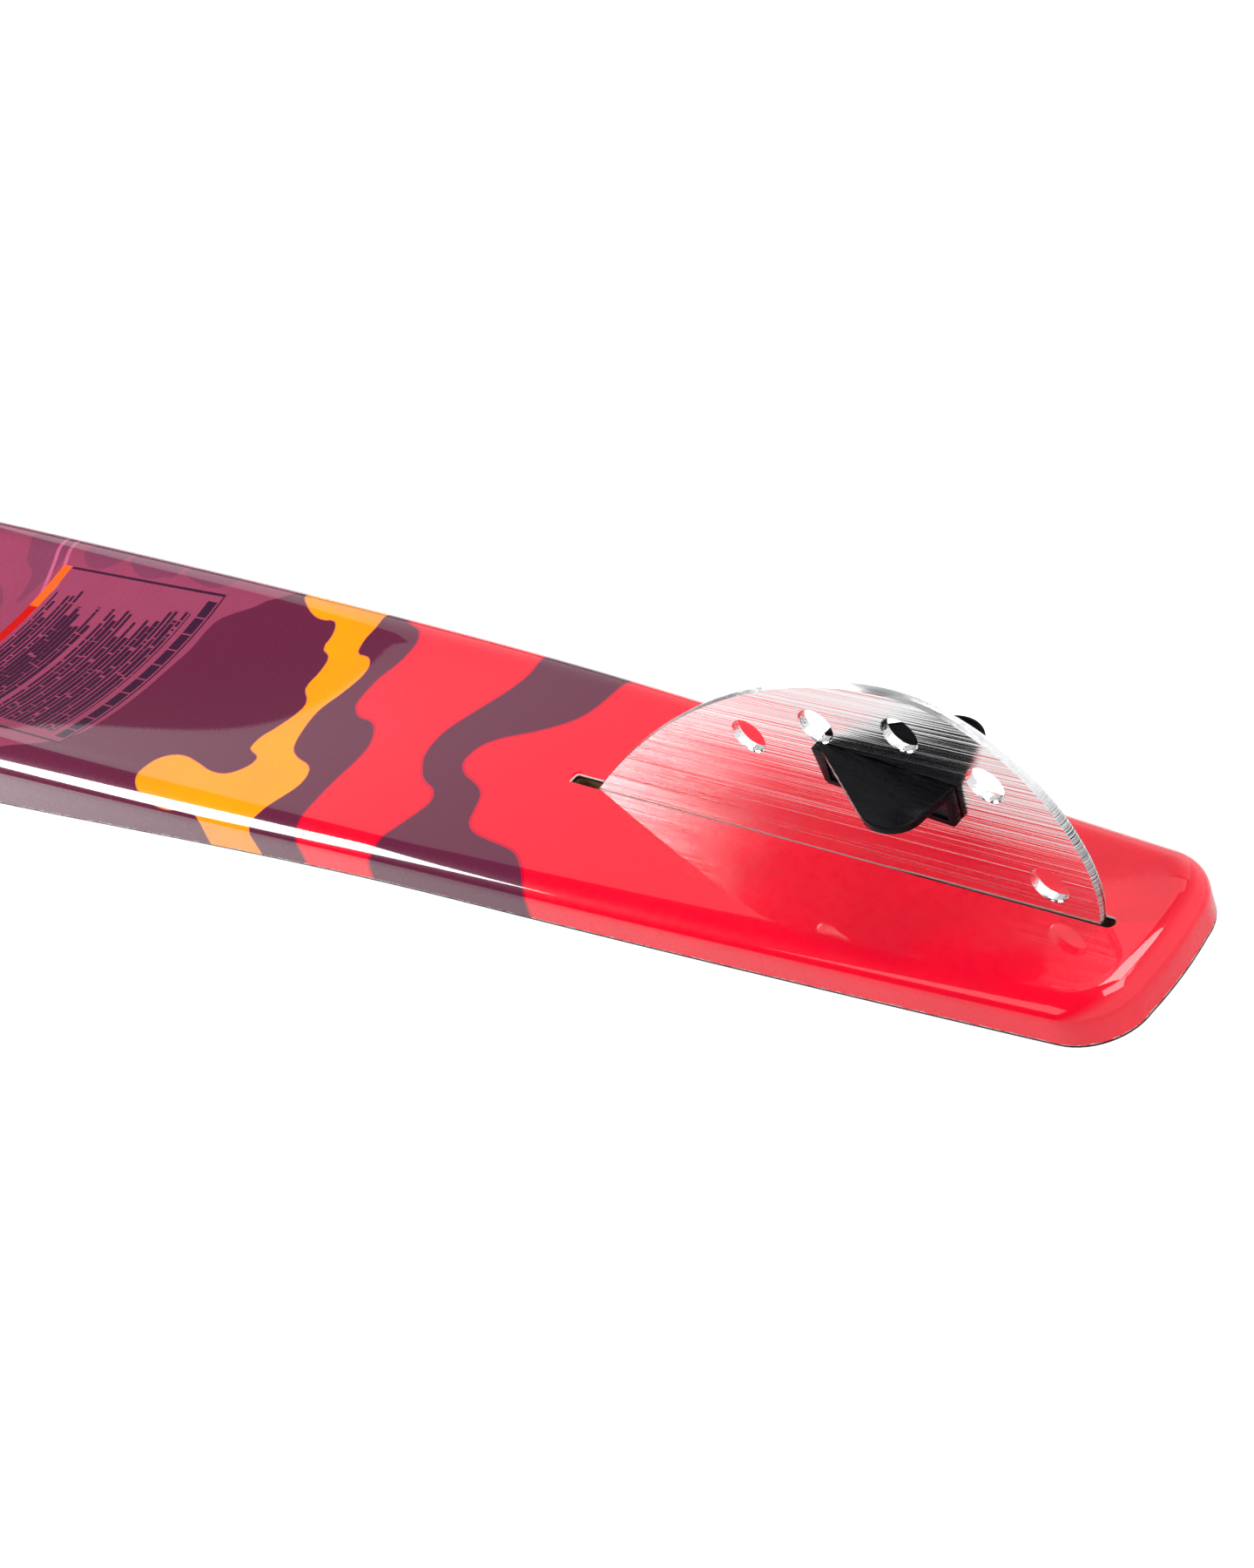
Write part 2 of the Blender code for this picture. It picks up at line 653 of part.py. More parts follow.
def wing_set(parent):
    """Both wings, and the two screws and nuts that clamp them on the fin."""
    pivot = wing_point(*PIVOT)
    frame = empty("wing_frame", parent, (pivot[0], 0, pivot[1]), WING_PITCH)
    shape = empty("wing_shape_frame", frame, (-PIVOT[0], 0, PIVOT[1]))
    wing("wing_right", -1, shape)
    wing("wing_left", 1, shape)
    floor = FIN_THICKNESS / 2 + GAP + FLANGE_THICK - RECESS
    for label, (along, below) in (("pivot", PIVOT), ("lock", LOCK)):
        start = Vector((along, -floor - GAP, -below))
        socket_screw(f"wing_{label}_screw", shape, WING_SCREW_HEAD,
                     (WING_SCREW_R, 2 * floor + WING_SCREW_END), start, (0, 1, 0))
        radius, height = WING_NUT
        nut = [(radius, 0, True), (radius, height, True),
               (WING_SCREW_R + GAP, height, False), (WING_SCREW_R + GAP, 0, False)]
        turned(f"wing_{label}_nut", nut, shape, "steel", (along, floor + GAP, -below),
               (0, 1, 0), tube=True)


# ---------------------------------------------------------------- fin block

def bore(name, radius, depth, at, parent):
    """A round cutter that runs along the ski from just ahead of a point to depth behind it."""
    return turned(name, [(radius, -CLEAR, False), (radius, depth, False)], parent, None, at,
                  (1, 0, 0))


def rail(name, side_sign, parent):
    """One clamp rail: a wall beside the fin and a foot on the deck, slotted for its screws."""
    inner, back, edge = RAIL_Y
    profile = [(inner, RAIL_TOP), (edge, RAIL_TOP), (edge, RAIL_TOP - FOOT_THICK),
               (back, RAIL_TOP - FOOT_THICK), (back, RAIL_BOTTOM), (inner, RAIL_BOTTOM)]
    count = len(profile)
    vertices = [(x, side_sign * y, z) for x in BLOCK_X for y, z in profile]
    faces = [tuple(range(count)), tuple(range(count, 2 * count))]
    faces += [(k, (k + 1) % count, (k + 1) % count + count, k + count) for k in range(count)]
    body = solid(name, vertices, faces, parent, "block", smooth=20)
    for number, x in enumerate(MOUNT_X):
        reach = MOUNT_R + GAP
        outline = stadium(x - FORE_AFT[1] - reach - GAP, x - FORE_AFT[0] + reach + GAP, reach,
                          side_sign * MOUNT_Y)
        boolean(body, prism(f"{name}_slot_{number}", outline, RAIL_TOP - FOOT_THICK - CLEAR,
                            RAIL_TOP + CLEAR, parent))
    low, high = sorted((side_sign * (inner - CLEAR), side_sign * (back + CLEAR)))
    for number, x in enumerate(CLAMP_X):
        outline = circle(CLAMP_R + GAP, (x, CLAMP_Z), 16)
        boolean(body, prism(f"{name}_clamp_hole_{number}", outline, low, high, parent, axis="y"))
    middle = side_sign * (inner + back) / 2
    for number, x in enumerate(CAP_SCREW_X):
        hole = prism(f"{name}_cap_hole_{number}", circle(SMALL_R + GAP, (x, middle), 12),
                     RAIL_BOTTOM - CLEAR, RAIL_BOTTOM + CAP_SCREW_LENGTH, parent)
        boolean(body, hole)
    boolean(body, bore(f"{name}_bridge_hole", SMALL_R + GAP, BRIDGE_SCREW_LENGTH - BRIDGE_THICK,
                       (BLOCK_X[0], middle, BRIDGE_SCREW_Z), parent))
    boolean(body, bore(f"{name}_adjuster_relief", ADJUSTER_R + GAP, -FORE_AFT[0],
                       (BLOCK_X[0], 0, ADJUSTER_Z), parent))


def clamp_screws(parent):
    """Cross screws that squeeze the rails on the fin."""
    start = RAIL_Y[1] + GAP
    for number, x in enumerate(CLAMP_X):
        socket_screw(f"clamp_screw_{number + 1}", parent, CLAMP_HEAD,
                     (CLAMP_R, start + RAIL_Y[1] + CLAMP_END), (x, -start, CLAMP_Z), (0, 1, 0))


def cap_seat(name, at, parent):
    """The countersunk hole that a cap screw lies in."""
    head, depth = CAP_SCREW_HEAD
    lip = head - SMALL_R
    profile = [(head + GAP, -CLEAR, False), (head + GAP, GAP, False),
               (SMALL_R + GAP, GAP + max(depth, lip) + GAP, False),
               (SMALL_R + GAP, CAP_THICK + CLEAR, False)]
    return turned(name, profile, parent, None, at, (0, 0, 1))


def block_cap(parent):
    """The plate that ties the rails together and carries the depth screws."""
    top = RAIL_BOTTOM - GAP
    low = top - CAP_THICK
    half = RAIL_Y[1] + CAP_OVERHANG
    plate = box("block_cap", (BLOCK_X[0], -half, low), (BLOCK_X[1], half, top), parent, "block")
    middle = (RAIL_Y[0] + RAIL_Y[1]) / 2
    number = 0
    for x in CAP_SCREW_X:
        for y in (-middle, middle):
            number += 1
            flush_screw(f"cap_screw_{number}", parent, CAP_SCREW_HEAD, (SMALL_R, CAP_SCREW_LENGTH),
                        (x, y, low + GAP), (0, 0, 1))
            boolean(plate, cap_seat(f"cap_seat_{number}", (x, y, low), parent))
    start = low + DEPTH_SCREW_SET_IN
    length = TANG_BOTTOM - DEPTH_TRAVEL - GAP - start
    for label, x in zip(("front", "rear"), DEPTH_SCREW_X):
        profile = [(DEPTH_SCREW_R, length, False), (DEPTH_SCREW_R, 0, False),
                   (DEPTH_KEY[0], 0, True), (*DEPTH_KEY, True)]
        turned(f"depth_screw_{label}", profile, parent, "steel", (x, 0, start), (0, 0, 1))
        boolean(plate, prism(f"depth_hole_{label}", circle(DEPTH_SCREW_R + GAP, (x, 0), 12),
                             low - CLEAR, top + CLEAR, parent))


def block_bridge(parent):
    """The cross piece on the rails' front ends, threaded for the fore-and-aft adjuster."""
    through = BRIDGE_THICK + CLEAR
    bridge = box("block_bridge", (BRIDGE_X[0], -BRIDGE_HALF, BRIDGE_Z[0]),
                 (BRIDGE_X[1], BRIDGE_HALF, BRIDGE_Z[1]), parent, "block")
    boolean(bridge, bore("bridge_thread", ADJUSTER_R + GAP, through,
                         (BRIDGE_X[0], 0, ADJUSTER_Z), parent))
    middle = (RAIL_Y[0] + RAIL_Y[1]) / 2
    for label, y in (("right", -middle), ("left", middle)):
        at = (BRIDGE_X[0] - GAP, y, BRIDGE_SCREW_Z)
        socket_screw(f"bridge_screw_{label}", parent, BRIDGE_SCREW_HEAD,
                     (SMALL_R, BRIDGE_SCREW_LENGTH), at, (1, 0, 0))
        boolean(bridge, bore(f"bridge_hole_{label}", SMALL_R + GAP, through,
                             (BRIDGE_X[0], y, BRIDGE_SCREW_Z), parent))


def block_mounting(parent, hosts):
    """The four screws and inserts that hold the block down on the deck."""
    number = 0
    for x in MOUNT_X:
        for y in (-MOUNT_Y, MOUNT_Y):
            number += 1
            insert(f"block_insert_{number}", Vector((x, y, DECK_Z)), Vector((0, 0, -1)), parent,
                   hosts)
            socket_screw(f"block_screw_{number}", parent, MOUNT_HEAD,
                         (MOUNT_R, FOOT_THICK + MOUNT_REACH),
                         (x, y, RAIL_TOP - FOOT_THICK - GAP), (0, 0, 1))


def adjuster(parent, hosts):
    """The post on the deck ahead of the block, and the long screw that is held in it."""
    top = DECK_Z - GAP
    low = top - POST_HEIGHT
    foot = box("adjuster_post", (POST_X[0], -POST_HALF, low), (POST_X[1], POST_HALF, top),
               parent, "block")
    boolean(foot, bore("post_bore", ADJUSTER_R + GAP, POST_X[1] - POST_X[0] + CLEAR,
                       (POST_X[0], 0, ADJUSTER_Z), parent))
    middle = (POST_X[0] + POST_X[1]) / 2
    for number, y in ((1, -POST_SCREW_Y), (2, POST_SCREW_Y)):
        hole = prism(f"post_hole_{number}", circle(POST_SCREW_R + GAP, (middle, y), 12),
                     low - CLEAR, low + POST_SCREW_LENGTH + CLEAR, parent)
        for host in (foot, *hosts):
            boolean(host, hole)
        socket_screw(f"post_screw_{number}", parent, POST_SCREW_HEAD,
                     (POST_SCREW_R, POST_SCREW_LENGTH), (middle, y, low - GAP), (0, 0, 1))
    head_face = POST_X[0] - GAP
    tip = BRIDGE_X[1] - ADJUSTER_SHORT
    socket_screw("adjuster_screw", parent, ADJUSTER_HEAD, (ADJUSTER_R, tip - head_face),
                 (head_face, 0, ADJUSTER_Z), (1, 0, 0))
    collar = [(ADJUSTER_HEAD[0], 0, False), (ADJUSTER_HEAD[0], COLLAR_LENGTH, False),
              (ADJUSTER_R + GAP, COLLAR_LENGTH, False), (ADJUSTER_R + GAP, 0, False)]
    turned("adjuster_collar", collar, parent, "steel", (POST_X[1] + GAP, 0, ADJUSTER_Z),
           (1, 0, 0), tube=True)


# ---------------------------------------------------------------- assembly

def bench_tilt():
    """How far the ski tips when it stands on its nose and on the fin block's rear edge."""
    cap_low = RAIL_BOTTOM - GAP - CAP_THICK
    angle = 0.0
    for _ in range(20):
        feet = []
        for s, x, _, _ in stations():
            feet.append((base_z(x + DECK_BEVEL) - deck_depth(s), x + DECK_BEVEL))
        low, nose_x = min(feet, key=lambda foot: foot[0] - math.tan(angle) * foot[1])
        angle = math.atan2(cap_low - low, BLOCK_X[1] - nose_x)
    return angle


def stand_on_bench(root):
    """Tip the whole ski, then centre its box over the origin with its lowest point at z = 0."""
    root.rotation_euler = (0, bench_tilt(), 0)
    bpy.context.view_layer.update()
    graph = bpy.context.evaluated_depsgraph_get()
    corners = []
    for obj in bpy.context.scene.objects:
        if obj.type == "MESH" and not obj.hide_render:
            shape = obj.evaluated_get(graph)
            corners += [shape.matrix_world @ vertex.co for vertex in shape.data.vertices]
    low = Vector([min(corner[k] for corner in corners) for k in range(3)])
    high = Vector([max(corner[k] for corner in corners) for k in range(3)])
    root.location = (-(low.x + high.x) / 2, -(low.y + high.y) / 2, -low.z)
    bpy.context.view_layer.update()


def main():
    clear_scene()
    ski = empty("ski_frame")
    base = base_shell(ski)
    skin = top_shell(ski)
    core = foam_core(ski)
    pad_low = DECK_Z + DECK_SKIN + GAP
    pad = box("fin_pad", (PAD_X[0], -PAD_HALF, pad_low), (PAD_X[1], PAD_HALF, -SKIN - GAP), ski,
              "phenolic")
    pocket = box("pad_pocket", (PAD_X[0] - GAP, -PAD_HALF - GAP, pad_low - CLEAR),
                 (PAD_X[1] + GAP, PAD_HALF + GAP, CLEAR), ski)
    boolean(core, pocket)
    slot = prism("fin_slot", stadium(*SLOT_X, SLOT_HALF), DECK_Z - CLEAR, CLEAR, ski)
    for host in (base, skin, pad):
        boolean(host, slot)
    binding_fixing("front", FRONT_PLATE, FRONT_INSERTS, ski, core, skin)
    binding_fixing("rear", REAR_PLATE, REAR_INSERTS, ski, core, skin)
    block_mounting(ski, (skin, pad))
    adjuster(ski, (skin, pad))

    block = empty("block_frame", ski)
    rail("block_rail_right", -1, block)
    rail("block_rail_left", 1, block)
    clamp_screws(block)
    block_cap(block)
    block_bridge(block)

    fin = empty("fin_frame", block)
    fin_blade(fin)
    wing_set(fin)
    stand_on_bench(ski)


main()
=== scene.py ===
"""The looks of the slalom water ski: its printed base, brushed fin, moulded wings and fin block.

Shapes are laid out in the tail frame, as in the CAD source: x runs along the ski towards the tail
from the fin's front corner, y across it, and z the way the flat tail of the base faces, with z = 0
on the base.  s is the distance forward of the tail end.  The print is laid out in millimetres, as
x along the ski and v across it, where v follows the surface over the shoulder and down the side.
"""

import json
import math

import bmesh
import bpy
import numpy as np
from mathutils import Matrix, Vector


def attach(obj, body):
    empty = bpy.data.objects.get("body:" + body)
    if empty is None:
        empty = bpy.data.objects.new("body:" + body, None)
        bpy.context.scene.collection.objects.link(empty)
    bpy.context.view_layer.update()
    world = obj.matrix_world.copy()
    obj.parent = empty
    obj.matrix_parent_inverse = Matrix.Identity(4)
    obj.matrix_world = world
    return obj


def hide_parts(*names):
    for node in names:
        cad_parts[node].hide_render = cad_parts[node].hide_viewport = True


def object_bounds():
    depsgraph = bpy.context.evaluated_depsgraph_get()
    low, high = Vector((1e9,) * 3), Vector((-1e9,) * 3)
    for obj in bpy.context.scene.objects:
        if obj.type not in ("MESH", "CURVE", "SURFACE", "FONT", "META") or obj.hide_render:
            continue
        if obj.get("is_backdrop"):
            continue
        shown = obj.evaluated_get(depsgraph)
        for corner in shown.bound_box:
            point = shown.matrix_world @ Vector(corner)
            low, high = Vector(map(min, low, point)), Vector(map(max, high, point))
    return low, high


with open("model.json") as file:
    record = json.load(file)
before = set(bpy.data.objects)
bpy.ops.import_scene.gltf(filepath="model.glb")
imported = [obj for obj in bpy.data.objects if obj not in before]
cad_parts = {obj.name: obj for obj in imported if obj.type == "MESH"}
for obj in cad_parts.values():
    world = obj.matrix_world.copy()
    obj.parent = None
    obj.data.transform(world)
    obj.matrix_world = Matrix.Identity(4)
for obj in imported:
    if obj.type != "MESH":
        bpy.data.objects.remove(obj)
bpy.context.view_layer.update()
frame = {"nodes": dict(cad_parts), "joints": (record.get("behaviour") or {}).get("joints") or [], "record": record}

MM = 0.001
GAP = 0.3 * MM

# Hull
SKI_LENGTH = 1680 * MM
TAIL_X = 199 * MM
TAIL_CROWN = 0.8 * MM
TAIL_CORNER = 16.5 * MM
HALF_WIDTH_TAIL = 30.6 * MM
HALF_WIDTH_MAX = 75 * MM
HALF_WIDTH_NOSE = 43 * MM
WIDEST_AT = 1000 * MM
NOSE_LENGTH = 100 * MM
NOSE_STOP = math.radians(84)
SIDE_TAIL, SIDE_MID, SIDE_NOSE = 12.6 * MM, 25.6 * MM, 9 * MM
FLAT_TAIL_END = 235 * MM
THICK_FROM, THIN_FROM, THIN_TO = 600 * MM, 980 * MM, 1500 * MM
DECK_RISE = (1.6 * MM, 3.4 * MM)
DECK_BEVEL = 9 * MM
SHOULDER_WIDTH = (8.6 * MM, 12.4 * MM)
SHOULDER_DROP = (5.1 * MM, 7.6 * MM)
TUNNEL_DEPTH = 7.5 * MM
TUNNEL_FULL, TUNNEL_FADE, TUNNEL_END = 500 * MM, 1000 * MM, 1450 * MM
TUNNEL_CREST = 0.88                  # share of the half width where the crest starts to round over
FLAT_BASE_TO = 30 * MM
REAR_SLOPE, REAR_SLOPE_OVER = 0.027, 90 * MM
NOSE_ROCKER_FROM, NOSE_ROCKER = 520 * MM, 0.098
SKIN, DECK_SKIN, RIM = 1.6 * MM, 1.25 * MM, 2.5 * MM

# Slot, fin and wing
SLOT_X = (-12.4 * MM, 183.1 * MM)
SLOT_HALF = 1.85 * MM
SLOT_SNUG = 1.6 * MM                 # where the slot closes up against the blade
SLOT_CHAMFER = 0.18 * MM
SLOT_NICKS = (0.7 * MM, 0.3 * MM)    # cut off the two front corners
SLOT_SNUG_X = (-1 * MM, 2 * MM, 108 * MM, 122 * MM)
SLOT_CUT = (-30 * MM, 3 * MM)        # how far the cutter goes below and above the base
FIN_LENGTH = 180 * MM
FIN_THICKNESS = 3 * MM
FIN_EDGE = 0.9 * MM
FIN_PEAK = (130 * MM, 65.7 * MM)
FIN_BEVEL = (0.3 * MM, 0.6 * MM)     # at the front corner, and from the peak rearwards
FIN_BEVEL_GROWS = 40 * MM            # where the bevel starts to widen
RIM_FADE = 2 * MM                    # height over which the bevel fades in above the base
RIM_PULLS = ((34 * MM, 33 * MM), 85 * MM, 171 * MM, (188.2 * MM, 22.2 * MM))
RIM_STEPS = 60
RIM_REACH = 1.3 * MM                 # how far past the bevel the rim's cut marks are looked for
TANG = ((178.5, -12), (160, -12), (160, -31), (20, -31), (20, -12), (1.5, -12))
WATER_HOLES = ((77.2, 38.9), (104.6, 48.6), (133.6, 52.3), (156.8, 41.2), (167.0, 9.8))
WATER_HOLE_R = 5.4 * MM
HOLE_CHAMFER = 0.3 * MM
CLAMP_HOLES = (56, 80, 104, 128)
CLAMP_HOLE = (-24 * MM, 2.3 * MM, 2 * MM)      # height, radius, travel each way
WING_CORNER = (103.2 * MM, 43.7 * MM)
WING_PITCH = math.radians(7)
WING_CHORD = 43.8 * MM
WING_NOSE = (32.7 * MM, 12.6 * MM, 9.1 * MM)
WING_PLATE = 2.2 * MM
WING_BEAD = (0.75 * MM, 0.18 * MM)   # width and depth of the step inside the plate's edge
FLANGE_DEPTH, FLANGE_THICK = 12.3 * MM, 2.6 * MM
FLANGE_LEAN, FLANGE_CORNER = 2 * MM, 0.8 * MM
RECESS = 0.8 * MM
RECESS_MARGIN = (2 * MM, 1.6 * MM, 0.6 * MM)   # at the flange's ends, its foot and the plate
WING_ROUNDS = (0.42 * MM, 0.1 * MM)  # of the outer edges, and of the bead's
PIVOT, LOCK = (10 * MM, 5.8 * MM), (34 * MM, 5.8 * MM)
LOCK_SWEEP = math.radians(12)
WING_SCREW_R = 1.5 * MM
POST_SCREW_R = 1.5 * MM
CUTTER = 5 * MM                      # how far a cutter reaches each way

# Light: the dark side's middle as azimuth and elevation, and where it fades out, in degrees
DARK_SIDE = (-12, 32)
DARK_REACH = (62, 92)
SURROUND, SURROUND_DARK = 1.25, 0.02
BACKDROP = 1.15                      # how bright the surround is to the camera
FLOOR_REACH = 40.0
FLOOR_GLOW = (0.08, 0.85)            # to the ski, and to the camera
SOFTBOXES = (                        # azimuth and elevation in degrees, distance, radiance
    ("near_softbox", (-36, -12), (16, 41), 1.3, 20.0),
    ("near_fill", (-80, -50), (34, 60), 2.5, 1.9),
    ("far_wall", (25.5, 80), (4, 42), 8.0, 0.6),
    ("far_wall_top", (36, 80), (42.2, 52), 8.0, 1.1),
    ("top_light", (64, 104), (56, 65), 1.6, 8.0),
    ("far_fill", (104, 150), (60, 78), 1.6, 6.0),
)

# Camera, from the tail frame
CAMERA_AT = (0.4816, -0.3253, 0.4018)
CAMERA_BACK = (0.6740, -0.4674, 0.5721)
CAMERA_RIGHT = (0.7138, 0.6116, -0.3413)
CAMERA_LENS = 53.13
CAMERA_CLIP = (0.02, 100.0)


# ---------------------------------------------------------------- places

def tail_matrix():
    """The tail frame in the world, from the joints' axes and the wing's pivot."""
    joints = {joint["name"]: joint for joint in frame["joints"]}
    along = Vector(joints["fore_aft_slide"]["axis"]).normalized()
    up = Vector(joints["fin_depth_slide"]["axis"])
    up = (up - along * up.dot(along)).normalized()
    turn = Matrix((along, up.cross(along), up)).transposed()
    pivot = wing_point(*PIVOT)
    at = Vector(joints["wing_pitch"]["pos_m"]) - turn @ Vector((pivot[0], 0, pivot[1]))
    return Matrix.Translation(at) @ turn.to_4x4()


def wing_point(along, below):
    """Where a point of the wing lies on the fin at rest, as x and z."""
    sine, cosine = math.sin(WING_PITCH), math.cos(WING_PITCH)
    return (WING_CORNER[0] + along * cosine - below * sine,
            WING_CORNER[1] - along * sine - below * cosine)


TAIL = tail_matrix()
WING = (TAIL @ Matrix.Translation((WING_CORNER[0], 0, WING_CORNER[1]))
        @ Matrix.Rotation(WING_PITCH, 4, "Y"))


# ---------------------------------------------------------------- mesh helpers

def make(name, vertices, faces, smooth=30):
    """A closed mesh in the tail frame, shaded smooth but for edges sharper than smooth."""
    mesh = bpy.data.meshes.new(name)
    mesh.from_pydata([tuple(v) for v in vertices], [], faces)
    shell = bmesh.new()
    shell.from_mesh(mesh)
    bmesh.ops.recalc_face_normals(shell, faces=shell.faces)
    shell.to_mesh(mesh)
    shell.free()
    obj = bpy.data.objects.new(name, mesh)
    bpy.context.scene.collection.objects.link(obj)
    shade(obj, smooth)
    return obj


def shade(obj, smooth):
    """Smooth shading with sharp edges above an angle in degrees."""
    obj.data.shade_smooth()
    obj.data.set_sharp_from_angle(angle=math.radians(smooth))


def apply_modifiers(obj):
    """Turn the modified shape into the mesh itself."""
    bpy.context.view_layer.update()
    graph = bpy.context.evaluated_depsgraph_get()
    mesh = bpy.data.meshes.new_from_object(obj.evaluated_get(graph), depsgraph=graph)
    obj.modifiers.clear()
    obj.data = mesh


def cut(obj, tools, operation="DIFFERENCE"):
    """Cut with each tool, or join it on, and remove the tools."""
    for tool in tools:
        modifier = obj.modifiers.new(tool.name, "BOOLEAN")
        modifier.operation = operation
        modifier.solver = "EXACT"
        modifier.object = tool
    apply_modifiers(obj)
    for tool in tools:
        bpy.data.objects.remove(tool, do_unlink=True)


def bevel(obj, width, segments=3, angle=30):
    """Round the sharp edges."""
    modifier = obj.modifiers.new("edges", "BEVEL")
    modifier.width = width
    modifier.segments = segments
    modifier.limit_method = "ANGLE"
    modifier.angle_limit = math.radians(angle)
    modifier.harden_normals = False
    apply_modifiers(obj)


def strips(rings):
    """The rings' points in one list, and the faces between each ring and the next."""
    count = len(rings[0])
    faces = []
    for low in range(0, (len(rings) - 1) * count, count):
        faces += [(low + k, low + (k + 1) % count, low + count + (k + 1) % count, low + count + k)
                  for k in range(count)]
    return [point for ring in rings for point in ring], faces


def loft(name, rings, smooth=30):
    """Rings of equal length joined into one capped body."""
    vertices, faces = strips(rings)
    last = (len(rings) - 1) * len(rings[0])
    faces += [tuple(range(len(rings[0]))), tuple(range(last, len(vertices)))]
    return make(name, vertices, faces, smooth)


def slab(name, outline, low, high):
    """An upright outline as a body from low to high in y."""
    return loft(name, [upright(outline, low), upright(outline, high)])


def circle(radius, centre, sides):
    """A circle's outline."""
    angles = [2 * math.pi * step / sides for step in range(sides)]
    return [(centre[0] + radius * math.cos(a), centre[1] + radius * math.sin(a)) for a in angles]


def stadium(low, high, half, centre=0.0, steps=10):
    """A slot's outline: two half circles joined by straight sides."""
    points = []
    for end, start in ((high - half, -90), (low + half, 90)):
        for step in range(steps + 1):
            angle = math.radians(start + 180 * step / steps)
            points.append((end + half * math.cos(angle), centre + half * math.sin(angle)))
    return points


def upright(outline, y):
    """An outline in x and z, stood up at y."""
    return [(a, y, b) for a, b in outline]


def settle(piece):
    """Move a piece's vertices from the tail frame into the world."""
    piece.data.transform(TAIL)
    piece.matrix_world = Matrix.Identity(4)


def vertex_places(obj):
    """A mesh's vertices as rows of x, y and z."""
    co = np.empty(len(obj.data.vertices) * 3, np.float32)
    obj.data.vertices.foreach_get("co", co)
    return co.reshape(-1, 3).astype(float)


def place(piece, body, node):
    """Let a piece ride on its body, and hide the node that it stands for."""
    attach(piece, body)
    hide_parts(node)


# ---------------------------------------------------------------- hull

def smooth_step(value, low, high):
    """0 below low, 1 above high and an S-curve between; works on numbers and arrays."""
    t = np.clip((value - low) / (high - low), 0.0, 1.0)
    return t * t * (3 - 2 * t)


def blend(ends, s):
    """A size that goes from its tail value to its middle value and back at the nose."""
    swell = smooth_step(s, FLAT_TAIL_END, THICK_FROM) * (1 - smooth_step(s, THIN_FROM, THIN_TO))
    return ends[0] + (ends[1] - ends[0]) * swell


def side_height(s):
    """Base to parting line."""
    rear = SIDE_TAIL + (SIDE_MID - SIDE_TAIL) * smooth_step(s, FLAT_TAIL_END, THICK_FROM)
    return rear + (SIDE_NOSE - SIDE_MID) * smooth_step(s, THIN_FROM, SKI_LENGTH)


def tunnel(s):
    """Depth of the concave base at its middle."""
    rear = smooth_step(s, FLAT_TAIL_END, TUNNEL_FULL)
    return TUNNEL_DEPTH * rear * (1 - smooth_step(s, TUNNEL_FADE, TUNNEL_END))


def hollow(part):
    """The tunnel's section: a parabola whose crest rounds over into the shoulder."""
    t = abs(part)
    if t <= TUNNEL_CREST:
        return 1 - t * t
    height = 1 - TUNNEL_CREST ** 2
    slope = -2 * TUNNEL_CREST * (1 - TUNNEL_CREST)
    u = (t - TUNNEL_CREST) / (1 - TUNNEL_CREST)
    return height * (1 + 2 * u) * (1 - u) ** 2 + slope * u * (1 - u) ** 2


def base_z(x):
    """Height of the base's edge: flat at the tail, then falling away to the nose."""
    forward = np.maximum(-x - FLAT_BASE_TO, 0.0)
    nose = np.maximum(forward - NOSE_ROCKER_FROM, 0.0)
    return -REAR_SLOPE * forward ** 2 / (forward + REAR_SLOPE_OVER) - NOSE_ROCKER * nose ** 3


def half_width(s):
    """Half the ski's width, before the ends are rounded."""
    rear = (HALF_WIDTH_MAX - HALF_WIDTH_TAIL) * np.maximum(1 - s / WIDEST_AT, 0.0) ** 2
    forward = np.maximum((s - WIDEST_AT) / (SKI_LENGTH - WIDEST_AT), 0.0)
    return HALF_WIDTH_MAX - rear - (HALF_WIDTH_MAX - HALF_WIDTH_NOSE) * forward ** 2.5


def stations(fine, coarse, fine_to=640 * MM, nose_steps=24, corner_steps=14):
    """The outline of one side as rows of s, x, half width and outward normal, nose to tail."""
    places = []
    for step in range(nose_steps):
        angle = NOSE_STOP * (1 - step / nose_steps)
        s = SKI_LENGTH - NOSE_LENGTH * (1 - math.sin(angle))
        places.append((s, half_width(s) * math.cos(angle)))
    spans = ((SKI_LENGTH - NOSE_LENGTH, fine_to, coarse), (fine_to, FLAT_TAIL_END, fine),
             (FLAT_TAIL_END, TAIL_CORNER, fine))
    for start, end, pitch in spans:
        steps = round((start - end) / pitch)
        places += [(s, half_width(s)) for s in np.linspace(start, end, steps, endpoint=False)]
    for step in range(corner_steps + 1):
        angle = math.pi / 2 * step / corner_steps
        s = TAIL_CORNER * (1 - math.sin(angle))
        places.append((s, half_width(s) - TAIL_CORNER * (1 - math.cos(angle))))
    points = [(TAIL_X - s, width) for s, width in places]
    before = [(points[0][0], -points[0][1])] + points[:-1]
    after = points[1:] + [(points[-1][0], -points[-1][1])]
    rows = []
    for (s, width), (x, _), (x0, y0), (x1, y1) in zip(places, points, before, after):
        normal = Vector((y0 - y1, x1 - x0)).normalized()
        rows.append((s, x, width, normal))
    return rows


